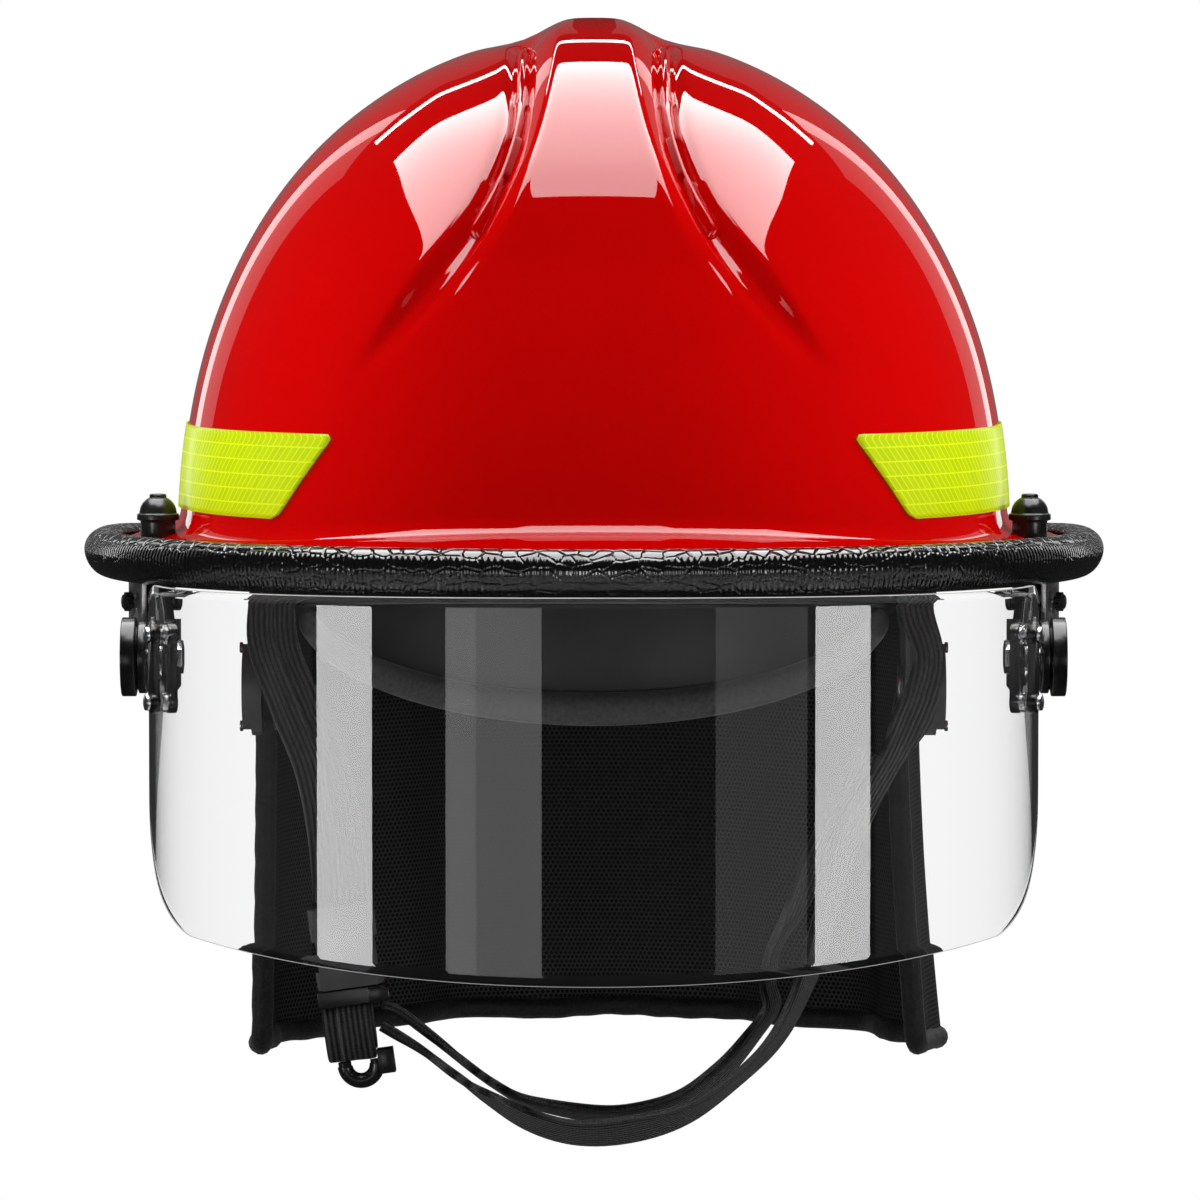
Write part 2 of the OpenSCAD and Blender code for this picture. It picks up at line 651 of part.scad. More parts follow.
module ratchet_housing() {
    color(black) difference() {
        translate([-house_half, cradle_rear - 6, ratchet_z - house_h / 2])
            cube([2 * house_half, house_back - cradle_rear + 6, house_h]);
        translate([0, cradle_back, ratchet_z - house_h]) cylinder(r = cradle_r + seat, h = 2 * house_h, $fn = 120);
        for (z = [rack_gap, -rack_gap - rack_h]) translate([0, cradle_back, ratchet_z + z])
            rack_arc(60, 120, seat);
        translate([0, rack_r + cradle_back - 1.2, ratchet_z]) rotate([-90, 0, 0])
            cylinder(r = pinion_r + seat, h = 3.6);
        translate([0, cradle_rear, ratchet_z]) rotate([-90, 0, 0]) cylinder(r = pinion_r + fit, h = 40);
    }
}

module rack_right() {
    color("#3a3a3c") translate([0, cradle_back, ratchet_z + rack_gap]) rack_arc(45, 102, 0);
}

module rack_left() {
    color("#3a3a3c") translate([0, cradle_back, ratchet_z - rack_gap - rack_h]) rack_arc(78, 135, 0);
}

module ratchet_knob() {
    grips = 12;
    color(black) translate([0, house_back + seat, ratchet_z]) rotate([-90, 0, 0]) {
        difference() {
            cylinder(r = ratchet_r, h = ratchet_t);
            for (i = [0:grips - 1]) rotate([0, 0, 360 * i / grips]) translate([ratchet_r + 1.4, 0, -1])
                cylinder(r = 2.6, h = ratchet_t + 2, $fn = 24);
            translate([0, 0, ratchet_t - 2]) cylinder(r = ratchet_r - 4.5, h = 3);
        }
        translate([0, 0, -8]) cylinder(r = pinion_r, h = 8.5);
    }
}

// Neck and ear cover: a U in plan that hangs from a hook tape under the ring
cover_top = ring_z - seat - 2.6 - seat;
cover_hem = cover_low + binding_d + 0.3;
tape_wide = 8;
cover_w = cradle_r + cover_gap;
cover_hem_w = cover_w + cover_flare;
cover_l = dome_back + dome_l / 2 - wall - 1 - tape_wide / 2 - cover_back;
cover_hem_l = cover_l - cover_tuck;

// The cover starts behind the pivot discs, this many degrees in front of its middle
cover_open = 10;
cover_start = pin_y + disc_r + 1.5 + binding_d;
cover_side = (cover_back - cover_start) / sin(cover_open);

function cover_mid(u, v) =
    let (t = mix(-cover_open, 180 + cover_open, u),
        a = mix(cover_w, cover_hem_w, v),
        b = sin(t) > 0 ? mix(cover_l, cover_hem_l, v) : cover_side,
        wave = fold_d * pow(v, 1.4) * pow(sin(180 * clamp01(u)), 0.5) * sin(360 * folds * (u + 0.03 * v)),
        n = unit([cos(t) / a, sin(t) / b]))
    [a * cos(t) + n.x * wave, cover_back + b * sin(t) + n.y * wave,
        mix(cover_top, cover_hem + cover_rise * smooth((60 - b * sin(t)) / 120), v)];
function cover_out(u) = let (t = mix(-cover_open, 180 + cover_open, u),
    b = sin(t) > 0 ? cover_l : cover_side) unit([cos(t) / cover_w, sin(t) / b]);

module cover_tape() {
    color(soft_black) translate([0, 0, ring_z - seat - 2.6]) linear_extrude(2.6)
        polygon(concat(
            [for (i = [0:48]) let (p = cover_mid(i / 48, 0), n = cover_out(i / 48))
                [p.x + n.x * tape_wide / 2, p.y + n.y * tape_wide / 2]],
            [for (i = [48:-1:0]) let (p = cover_mid(i / 48, 0), n = cover_out(i / 48))
                [p.x - n.x * tape_wide / 2, p.y - n.y * tape_wide / 2]]));
}

cover_cells = 64;
cover_rows = 7;

module neck_cover() {
    color(soft_black) skin([for (i = [0:cover_cells]) let (u = mix(0.008, 0.992, i / cover_cells), n = cover_out(u))
        concat(
            [for (j = [0:cover_rows]) let (p = cover_mid(u, j / cover_rows))
                [p.x - n.x * cover_t / 2, p.y - n.y * cover_t / 2, p.z]],
            [for (j = [cover_rows:-1:0]) let (p = cover_mid(u, j / cover_rows))
                [p.x + n.x * cover_t / 2, p.y + n.y * cover_t / 2, p.z]])]);
}

// The binding runs down one front edge, along the hem and up the other edge
module cover_binding() {
    r = binding_d / 2;
    drop = binding_d / 2 + 0.3;
    edge_rows = 6;
    function side(u, v, s) = let (p = cover_mid(u, v), n = cover_out(u))
        [p.x + s * n.y * drop, p.y - s * n.x * drop, p.z];
    path = concat(
        [for (j = [0:edge_rows - 1]) side(0.008, j / edge_rows, 1)],
        [side(0.008, 1, 1) - [0, 0, drop * 0.7]],
        [for (i = [1:47]) let (p = cover_mid(mix(0.008, 0.992, i / 48), 1)) p - [0, 0, drop]],
        [side(0.992, 1, -1) - [0, 0, drop * 0.7]],
        [for (j = [edge_rows - 1:-1:0]) side(0.992, j / edge_rows, -1)]);
    count = len(path);
    color(soft_black) skin([for (i = [0:count - 1])
        let (d = unit(path[min(count - 1, i + 1)] - path[max(0, i - 1)]),
            flat_out = unit([path[i].x / cover_w, (path[i].y - cover_back) / cover_l, 0]),
            e = unit(flat_out - d * (flat_out * d)),
            f = cross(d, e))
        [for (a = [300:-60:0]) path[i] + e * (r * 0.92 * cos(a)) + f * (r * 0.92 * sin(a))]]);
}

// Visor: a curved sheet cut to its outline by a view from the side and one from the front
hinge_z = ear_top - visor_ear;
visor_top = ear_top + visor_rise;
visor_reach = visor_front - hinge_front;
visor_low = ear_top - visor_h;
corner_front = 163;
corner_z = visor_low + visor_sag_r - sqrt(pow(visor_sag_r, 2) - pow(visor_x(corner_front), 2)) + visor_corner;

function visor_curve(grow) = [for (i = [0:60]) let (t = 180 + 3 * i)
    [(visor_w + grow) * spow(cos(t), 2 / visor_round),
        -hinge_front + (visor_reach + grow) * spow(sin(t), 2 / visor_round)]];

module visor_sheet() {
    back = -hinge_front + visor_ear + 1;
    translate([0, 0, visor_low - 1]) linear_extrude(visor_top - visor_low + 2) difference() {
        polygon(concat([[-visor_w, back]], visor_curve(0), [[visor_w, back]]));
        polygon(concat([[-visor_w + visor_t, back + 1]], visor_curve(-visor_t), [[visor_w - visor_t, back + 1]]));
    }
}

// The ear and the corner are circles with one common tangent below them
module visor_side() {
    d = [corner_front - hinge_front, corner_z - hinge_z];
    away = atan2(d.y, d.x) - acos((visor_ear - visor_corner) / norm(d));
    polygon(concat([[visor_front + 9, visor_top], [hinge_front + 26, visor_top],
            [hinge_front + 12, ear_top], [hinge_front, ear_top]],
        [for (i = [1:12]) let (a = mix(90, 360 + away, i / 12))
            [hinge_front + visor_ear * cos(a), hinge_z + visor_ear * sin(a)]],
        [for (i = [0:12]) let (a = mix(360 + away, 270, i / 12))
            [corner_front + visor_corner * cos(a), corner_z + visor_corner * sin(a)]],
        [[corner_front, visor_low - 9], [visor_front + 9, visor_low - 9]]));
}

clamp_front = hinge_front + 32;
clamp_z = hinge_z - 1;
function visor_x(front) = visor_w
    * pow(1 - pow((front - hinge_front) / visor_reach, visor_round), 1 / visor_round);
clamp_turn = atan(visor_x(clamp_front - 0.5) - visor_x(clamp_front + 0.5));

// Places its children on the visor's outer face at the clamp, with their Z square to it
module on_clamp() {
    translate([visor_x(clamp_front), -clamp_front, clamp_z]) rotate([0, 0, -clamp_turn])
        rotate([0, 90, 0]) children();
}

module visor() {
    color(clear) difference() {
        intersection() {
            visor_sheet();
            rotate([90, 0, -90]) translate([0, 0, -150]) linear_extrude(300) visor_side();
            translate([0, 0, visor_low + visor_sag_r]) rotate([90, 0, 0])
                cylinder(r = visor_sag_r, h = 600, center = true, $fn = 180);
        }
        translate([0, -hinge_front, hinge_z]) rotate([0, 90, 0])
            cylinder(r = bush_r + fit + 0.05, h = 400, center = true);
        both_sides() on_clamp() for (s = [-1, 1]) translate([s * clamp_pitch / 2, 0, 0])
            cylinder(r = clamp_screw_r + 0.2, h = 20, center = true);
    }
}

// Visor hardware, drawn for the right side and mirrored
bush_flange = 1.6;
visor_in = visor_w - visor_t;
web_x = visor_in - seat - bush_flange - 0.1 - bracket_t;

// The bracket's leg stands under the trim, turned with the brim's edge. Its local X points out
// along the screw, its local Y to the rear along the leg, and its local Z up.
leg_turn = 25;
leg_front = 54;
leg_t = 2.4;
leg_rear = 7.6;
leg_x = brim_w / 2 - 21.8;
leg_top = -brim_low - trim_h / 2 + 0.5;
leg_low = hinge_z - 9;
module on_leg() { translate([leg_x, -leg_front, 0]) rotate([0, 0, -leg_turn]) children(); }
function from_leg(s) = [leg_x + s * sin(leg_turn), -leg_front + s * cos(leg_turn)];
leg_reach = (leg_x - web_x - bracket_t / 2) / sin(leg_turn);
wall_x = leg_x - 6.2;

module bar(a, b, t) {
    hull() {
        translate(a) circle(d = t, $fn = 24);
        translate(b) circle(d = t, $fn = 24);
    }
}

// The arm is a bent plate in plan, cut to its outline from the side
module bracket_side() {
    base_rear = -bolt_front + 11;
    bend = from_leg(-leg_reach);
    arm = [web_x + bracket_t / 2, -hinge_front];
    function rail(f) = 2.4 - 0.05 * f;
    outline = concat([[leg_front - leg_rear - 4, leg_top], [leg_front + 5, leg_top],
        [leg_front + 9, hinge_z + 8.6], [hinge_front, hinge_z + bracket_r]],
        [for (a = [70:-20:-70]) [hinge_front + bracket_r * cos(a), hinge_z + bracket_r * sin(a)]],
        [[hinge_front, hinge_z - bracket_r], [leg_front + 4, leg_low],
            [leg_front - leg_rear - 4, leg_low + 5]]);
    difference() {
        union() {
            intersection() {
                translate([0, 0, leg_low - 4]) linear_extrude(leg_top - leg_low + 8) union() {
                    bar(from_leg(leg_rear - leg_t / 2), bend, leg_t);
                    bar(bend, arm - [0, bracket_r + 4], leg_t);
                }
                rotate([90, 0, -90]) translate([0, 0, -150]) linear_extrude(300) polygon(outline);
            }
            translate([0, 0, leg_top - 2]) linear_extrude(2) hull() {
                bar([wall_x + 1, -43], [wall_x + 1, -61], 2);
                bar(from_leg(6), from_leg(-3), leg_t);
            }
            translate([wall_x, 0, 0]) rotate([90, 0, -90]) mirror([0, 0, 1]) linear_extrude(bracket_t)
                polygon([[42, leg_top - 2], [62, leg_top - 2], [62, leg_top],
                    [47.5, rail(47.5)], [42, rail(42)]]);
            on_brim(bolt_turn, bolt_in) translate([trim_d + 0.9 - bolt_in, -12, -wall / 2 - 0.4 - bracket_t])
                cube([14.2, 24, bracket_t]);
        }
        on_brim(bolt_turn, bolt_in) cylinder(r = bolt_r + 0.1, h = 30, center = true);
        translate([web_x, -hinge_front, hinge_z]) rotate([0, 90, 0])
            cylinder(r = hinge_r + 0.1, h = 9, center = true);
        on_leg() translate([0, screw_s, screw_z]) rotate([0, 90, 0])
            cylinder(r = screw_r + 0.1, h = 9, center = true);
    }
}

module bracket_right() { color(black) bracket_side(); }
module bracket_left() { color(black) mirror([1, 0, 0]) bracket_side(); }

// The light plate lies on a washer outside the leg, and one screw with two nuts holds it
tab_in = leg_t / 2 + 1;
tab_t = 1.4;
tab_low = -19.5;
tab_high = leg_top;
tab_hole_s = 1.6;
tab_hole_z = -10.4;
screw_s = 5.6;
screw_r = 1.4;
screw_z = -11.8;

module tab_side() {
    on_leg() difference() {
        translate([tab_in, -2, 0]) rotate([90, 0, 90]) linear_extrude(tab_t) hull() {
            translate([-0.4, tab_high - 1]) square([10, 1]);
            for (x = [1.2, 8]) translate([x, tab_low + 1.6]) circle(r = 1.6, $fn = 24);
        }
        translate([0, screw_s, screw_z]) rotate([0, 90, 0]) cylinder(r = screw_r + 0.1, h = 20);
        translate([0, tab_hole_s, tab_hole_z]) rotate([0, 90, 0]) cylinder(r = tab_hole_r, h = 20);
        translate([0, tab_hole_s, tab_hole_z - 3.4]) rotate([0, 90, 0]) cylinder(r = 0.5, h = 20);
    }
}

module bracket_tab_right() { color("#c4c7ca") tab_side(); }
module bracket_tab_left() { color("#c4c7ca") mirror([1, 0, 0]) tab_side(); }

screw_head = tab_in + tab_t + 0.1;
screw_end = -9.2;
module at_screw() { both_sides() on_leg() translate([0, screw_s, screw_z]) rotate([0, 90, 0]) children(); }

module bracket_screws() {
    color(black) at_screw() {
        translate([0, 0, screw_end]) cylinder(r = screw_r, h = screw_head - screw_end + 0.1);
        translate([0, 0, screw_head]) {
            cylinder(r = 2, h = 2.2);
            for (i = [0:5]) rotate([0, 0, 60 * i]) translate([1.8, 0, 0]) cylinder(r = 0.85, h = 1.8, $fn = 24);
        }
    }
}

// A washer under the plate, a sleeve behind the leg and two ribbed nuts
module bracket_nuts() {
    color(black) at_screw() {
        difference() {
            translate([0, 0, leg_t / 2 + 0.1]) cylinder(r = 2.6, h = 0.8);
            cylinder(r = screw_r + fit, h = 20, center = true);
        }
        difference() {
            translate([0, 0, -4.6]) cylinder(r = 2.2, h = 4.5 - leg_t / 2);
            cylinder(r = screw_r + fit, h = 20, center = true);
        }
        for (z = [-6.8, -9]) difference() {
            translate([0, 0, z]) cylinder(r = 2.75, h = 2.1);
            cylinder(r = screw_r + fit, h = 20, center = true);
        }
    }
}

// The bolt comes up through the bracket and the brim into the cap nut
module brim_bolts() {
    under = -wall / 2 - 0.4 - bracket_t;
    color(black) both_sides() on_brim(bolt_turn, bolt_in) {
        translate([0, 0, under - 3.2]) cylinder(r = 4.4, h = 3.1, $fn = 6);
        translate([0, 0, under - 0.2]) cylinder(r = bolt_r, h = wall + bracket_t + 6.2);
    }
}

// The cap is moulded to stand upright on the slope of the brim
module cap_nuts() {
    color(black) both_sides() on_brim(bolt_turn, bolt_in) translate([0, 0, wall / 2 + seat]) difference() {
        intersection() {
            rotate([0, brim_slope, 0]) rotate_extrude($fn = 40) polygon([[0, -4], [cap_r - 0.1, -4],
                [cap_r - 0.1, cap_h - 7.2], [cap_r + 0.9, cap_h - 6.8], [cap_r + 1, cap_h - 6.2],
                [cap_r + 1, cap_h - 5.2], [cap_r + 0.6, cap_h - 4.7], [cap_r + 0.1, cap_h - 4.5],
                [cap_r - 0.2, cap_h - 3.4], [cap_r - 0.9, cap_h - 2.3], [cap_r - 2, cap_h - 1.4],
                [cap_r - 2.4, cap_h - 1.1], [cap_r - 2.5, cap_h - 0.4], [cap_r - 3.2, cap_h], [0, cap_h]]);
            translate([-20, -20, 0]) cube([40, 40, cap_h + 8]);
        }
        translate([0, 0, -1]) cylinder(r = bolt_r + fit, h = 7.2);
    }
}

knob_x = visor_w + 0.7;
knob_hub_t = 2.3;

module visor_bolts() {
    color(steel) both_sides() translate([0, -hinge_front, hinge_z]) rotate([0, 90, 0]) {
        translate([0, 0, web_x - 2.6]) cylinder(r = 4.6, h = 2.5, $fn = 6);
        translate([0, 0, web_x - 0.2]) cylinder(r = hinge_r, h = knob_x + knob_hub_t + 3 - web_x);
    }
}

module visor_bushes() {
    color(clear) both_sides() translate([0, -hinge_front, hinge_z]) rotate([0, 90, 0]) difference() {
        union() {
            translate([0, 0, web_x + bracket_t + 0.1]) cylinder(r = 8, h = bush_flange);
            translate([0, 0, web_x + bracket_t + 0.1])
                cylinder(r = bush_r, h = knob_x - 0.2 - web_x - bracket_t - 0.1);
        }
        cylinder(r = hinge_r + 0.1, h = 400, center = true);
    }
}

module knob_side() {
    translate([knob_x, -hinge_front, hinge_z]) rotate([0, 90, 0]) difference() {
        union() {
            cylinder(r = knob_r - 0.8, h = knob_hub_t);
            cylinder(r = knob_r - 1.8, h = knob_hub_t + 1.2);
            translate([0, 0, knob_hub_t + 0.7]) cylinder(r = knob_r, h = knob_t - 0.7);
        }
        translate([0, 0, knob_hub_t + knob_t - 1.6]) difference() {
            cylinder(r = knob_r - 3, h = 3);
            cylinder(r = 3.4, h = 9, center = true);
        }
        translate([0, 0, -1]) cylinder(r = hinge_r + fit, h = knob_hub_t + 4.4);
    }
}

module knob_right() { color(black) knob_side(); }
module knob_left() { color(black) mirror([1, 0, 0]) knob_side(); }

// Clamps: an outer plate, the visor, clear washers, an inner plate and two screws
clamp_end_r = 3;
clamp_washer_t = 1.2;
clamp_out = 0.1;
clamp_in = -visor_t - 0.2;

module clamp_bar(z, t, r, waist) {
    on_clamp() translate([0, 0, z]) difference() {
        union() {
            for (s = [-1, 1]) translate([s * clamp_pitch / 2, 0, 0]) cylinder(r = r, h = t);
            translate([-clamp_pitch / 2, -waist, 0]) cube([clamp_pitch, 2 * waist, t]);
        }
        for (s = [-1, 1]) translate([s * clamp_pitch / 2, 0, -1]) cylinder(r = clamp_screw_r + fit, h = t + 2);
    }
}

module outer_clamps() {
    color(black) both_sides() clamp_bar(clamp_out, outer_plate_t, clamp_end_r, clamp_end_r - 0.9);
}
module inner_clamps() {
    color(black) both_sides()
        clamp_bar(clamp_in - clamp_washer_t - 0.1 - inner_plate_t, inner_plate_t, clamp_end_r, clamp_end_r - 0.4);
}

module clamp_washers() {
    color(clear) both_sides() on_clamp() for (s = [-1, 1])
        translate([s * clamp_pitch / 2, 0, clamp_in - clamp_washer_t]) difference() {
            cylinder(r = clamp_end_r - 0.3, h = clamp_washer_t);
            cylinder(r = clamp_screw_r + fit, h = 9, center = true);
        }
}

module clamp_screws() {
    from = clamp_in - clamp_washer_t - inner_plate_t + 0.3;
    head = clamp_out + outer_plate_t + 0.1;
    color(steel) both_sides() on_clamp() for (s = [-1, 1]) translate([s * clamp_pitch / 2, 0, 0]) {
        translate([0, 0, from]) cylinder(r = clamp_screw_r, h = head - from + 0.1);
        translate([0, 0, head]) cylinder(r = 2.2, h = 1.3);
    }
}

// Chin strap: an anchor pin on each side, webbing, a side-release buckle and the lower straps
anchor_x = cradle_r - 1;
ear_t = 1.6;
ear_gap = loop_w + 0.4;

module strap_anchors() {
    foot = ring_z - seat;
    color(black) both_sides() translate([anchor_x, -anchor_front, 0]) {
        translate([-ear_gap / 2 - ear_t, -4, foot - 2]) cube([ear_gap + 2 * ear_t, 8, 2]);
        for (x = [-ear_gap / 2 - ear_t, ear_gap / 2]) translate([x, -3.5, anchor_z])
            cube([ear_t, 7, foot - 1 - anchor_z]);
        for (x = [-ear_gap / 2 - ear_t, ear_gap / 2]) translate([x, 0, anchor_z]) rotate([0, 90, 0])
            cylinder(r = 3.5, h = ear_t);
        translate([-ear_gap / 2 - 0.5, 0, anchor_z]) rotate([0, 90, 0])
            cylinder(r = anchor_r, h = ear_gap + 1);
    }
}

// A ribbon along a smooth curve through stations. Each is a place, the way of its width and the width.
function spline(p, i, u) =
    let (n = len(p), a = p[max(0, i - 1)], b = p[i], c = p[min(n - 1, i + 1)], d = p[min(n - 1, i + 2)])
    0.5 * (2 * b + (c - a) * u + (2 * a - 5 * b + 4 * c - d) * u * u + (3 * b - a - 3 * c + d) * u * u * u);

module ribbon(stations, thick, cells = 3) {
    n = len(stations);
    places = [for (s = stations) s[0]];
    ways = [for (s = stations) s[1]];
    wides = [for (s = stations) [s[2], 0, 0]];
    steps = concat([for (i = [0:n - 2]) for (k = [0:cells - 1]) [i, k / cells]], [[n - 2, 1]]);
    skin([for (s = steps) let (p = spline(places, s[0], s[1]),
        ahead = s[1] > 0.5 ? spline(places, s[0], s[1] - 0.1) : spline(places, s[0], s[1] + 0.1),
        d = unit(s[1] > 0.5 ? p - ahead : ahead - p),
        raw = unit(spline(ways, s[0], s[1])),
        w = unit(raw - d * (raw * d)),
        n2 = cross(d, w),
        half = spline(wides, s[0], s[1]).x / 2)
        [p + w * half + n2 * thick / 2, p + w * half - n2 * thick / 2, p - w * half - n2 * thick / 2,
            p - w * half + n2 * thick / 2]]);
}

module strap_loop(side) {
    translate([side * anchor_x, -anchor_front, anchor_z]) rotate([0, 90, 0]) difference() {
        cylinder(r = anchor_r + web_t + fit, h = loop_w, center = true);
        cylinder(r = anchor_r + fit, h = loop_w + 1, center = true);
    }
}

strap_y = -anchor_front;
loop_low = anchor_z - anchor_r - web_t + 0.4;

buckle_at = [-69.8, strap_y, -94.6];
buckle_lean = -8;
module in_buckle() { translate(buckle_at) rotate([0, buckle_lean, 0]) children(); }

// Two narrow strips leave the anchor and meet side by side in the buckle
module webbing_left() {
    color(soft_black) {
        strap_loop(-1);
        ribbon([[[-anchor_x - 3, strap_y - 1.3, loop_low], [1, 0, 0], 6], [[-91.4, strap_y - 1.3, -22], [1, 0.3, 0], 7.5],
            [[-85, strap_y - 1.4, -40], [1, 0.5, 0.2], 8], [[-78.6, strap_y - 1.4, -56], [1, 0.5, 0.2], 8],
            [[-75.2, strap_y - 1, -72], [1, 0.35, 0.1], 8], [[-73.6, strap_y - 0.6, -86], [1, 0.1, 0], 7.6],
            [[-73.4, strap_y, -94], [1, 0, 0], 7.2]], web_t);
        ribbon([[[-anchor_x + 3.1, strap_y + 1.3, loop_low], [1, 0, 0], 5.6], [[-84.6, strap_y + 1.3, -22], [1, -0.2, 0], 7],
            [[-78.6, strap_y + 1.2, -38], [1, -0.3, 0.2], 7.6], [[-71.8, strap_y + 1.2, -54], [1, -0.3, 0.2], 8],
            [[-68, strap_y + 0.8, -70], [1, -0.2, 0.1], 8], [[-66.1, strap_y + 0.4, -85], [1, 0, 0], 7.4],
            [[-65.6, strap_y, -94], [1, 0, 0], 7]], web_t);
    }
}

shell_t = 1.6;
window_top = -9;
window_low = -17.4;

module buckle_body() {
    color("#2b2b2d") in_buckle() difference() {
        union() {
            translate([-buckle_w / 2 + 1.5, -buckle_t / 2, -buckle_h])
                cube([buckle_w - 3, buckle_t, buckle_h]);
            for (s = [-1, 1]) translate([s * (buckle_w / 2 - 3), 0, -buckle_h])
                cylinder(r = 3, h = buckle_h);
        }
        translate([-buckle_w / 2 + shell_t, -buckle_t / 2 + shell_t, -buckle_h - 1])
            cube([buckle_w - 2 * shell_t, buckle_t - 2 * shell_t, buckle_h - 4]);
        translate([-buckle_w, -buckle_t / 2 + shell_t, window_low])
            cube([2 * buckle_w, buckle_t - 2 * shell_t, window_top - window_low]);
        translate([-8.4, -web_t / 2 - 0.3, -2.4]) cube([16.2, web_t + 0.6, 9]);
    }
}

tongue_top = -buckle_h - 0.4;
bar_h = 4.6;

module buckle_tongue() {
    color(soft_black) in_buckle() {
        translate([-buckle_w / 2 - 0.3, -3.3, tongue_top - bar_h]) cube([buckle_w + 0.6, 6.6, bar_h]);
        translate([-2, -2, tongue_top - 1]) cube([4, 4, -tongue_top - 6]);
        translate([buckle_w / 2 - 4.6, -4.2, tongue_top - bar_h + 0.6]) cube([5.6, 8.4, bar_h - 1.2]);
    }
}

prong_y = buckle_t / 2 - shell_t - seat;
prong_x = buckle_w / 2 - shell_t - seat;
module prong() {
    rotate([90, 0, 0]) translate([0, 0, -prong_y]) linear_extrude(2 * prong_y)
        polygon([[4.2, tongue_top + 0.1], [prong_x - 0.8, tongue_top + 0.1], [prong_x - 0.6, window_low],
            [prong_x, window_low + 1.2], [prong_x, window_low + 3.8], [prong_x - 1, window_top - 0.6],
            [4.8, window_top - 0.4]]);
}

module prong_right() { color("#2b2b2d") in_buckle() prong(); }
module prong_left() { color("#2b2b2d") in_buckle() mirror([1, 0, 0]) prong(); }

// Webbing wound round the tongue's bar, and the hook under it
slide_top = tongue_top - bar_h - 0.3;

slide_h = 9.8;
slide_r = 5;

module webbing_slide() {
    color(soft_black) in_buckle() translate([-9.2, 0, slide_top]) difference() {
        union() {
            translate([0, -slide_r, -slide_h]) cube([13.4, 2 * slide_r, slide_h]);
            translate([0, 0, -slide_h]) rotate([0, 90, 0]) cylinder(r = slide_r, h = 13.4);
        }
        translate([-1, -1.4, -5.4]) cube([20, 2.8, 1.6]);
    }
}

module slide_hook() {
    low = slide_top - slide_h - slide_r - seat;
    ring = 4.4;
    tube = 2.1;
    color(black) in_buckle() translate([-0.4, 0, low - 1.4]) {
        rotate([90, 0, 0]) rotate([0, 0, 180]) rotate_extrude(angle = 180, $fn = 48)
            translate([ring, 0]) circle(r = tube, $fn = 24);
        translate([-ring, 0, -0.4]) cylinder(r = tube - 0.3, h = 1.7);
        translate([ring, 0, -0.4]) cylinder(r = tube - 0.3, h = 1.4);
        translate([4.9, -3.2, -3]) cube([4.4, 6.4, 6.6]);
    }
}

// Outer strap from the right anchor, under the chin, to the slide. It narrows where it is folded.
module webbing_outer() {
    color(soft_black) {
        strap_loop(1);
        ribbon([[[anchor_x, strap_y, loop_low], [1, 0, 0], loop_w - 0.6],
            [[anchor_x + 0.6, strap_y, -14], [1, 0.2, 0], 10], [[92.1, strap_y - 0.2, -25.5], [1, 0.3, 0], 9],
            [[90.1, strap_y - 0.6, -35.6], [1, 0.4, 0.2], 11],
            [[86.8, strap_y - 1, -43.8], [1, 0.5, 0.3], 12.5],
            [[82.1, strap_y - 1.6, -53.1], [1, 0.7, 0.4], 9], [[77.5, strap_y - 2.4, -60.9], [1, 0.7, 0.3], 9],
            [[72.8, strap_y - 3, -69.1], [1, 0.9, 0.3], 11.5],
            [[69.2, strap_y - 3.4, -77.3], [1, 1.1, 0.3], 13],
            [[66.2, strap_y - 4, -87.3], [0.8, 1.3, 0.2], 14],
            [[62.6, strap_y - 4.6, -99], [0.65, 1.5, 0.2], 15],
            [[58.8, strap_y - 5.4, -113.2], [0.6, 1.5, 0.2], 16],
            [[51.1, strap_y - 6.4, -128.6], [0.6, 1.5, 0.1], 17],
            [[41.2, strap_y - 7.2, -140], [0.45, 1.4, -0.1], 17],
            [[27.3, strap_y - 8, -150], [0.2, 1.2, -0.4], 17],
            [[11.5, strap_y - 8, -155.2], [0, 1.1, -0.6], 17],
            [[-3.8, strap_y - 8, -156.3], [0, 1.1, -0.6], 17],
            [[-18, strap_y - 7.6, -152.8], [-0.1, 1.1, -0.5], 16],
            [[-29.5, strap_y - 6.4, -146.7], [-0.2, 1, -0.2], 13],
            [[-38, strap_y - 5, -140.8], [-0.2, 1, 0.1], 7],
            [[-46.2, strap_y - 3.4, -134.7], [-0.2, 1, 0.2], 4],
            [[-54.2, strap_y - 2, -130], [-0.1, 1, 0.2], 4], [[-58.3, strap_y - 1.7, -127.5], [-0.1, 1, 0.1], 4]], web_t);
    }
}

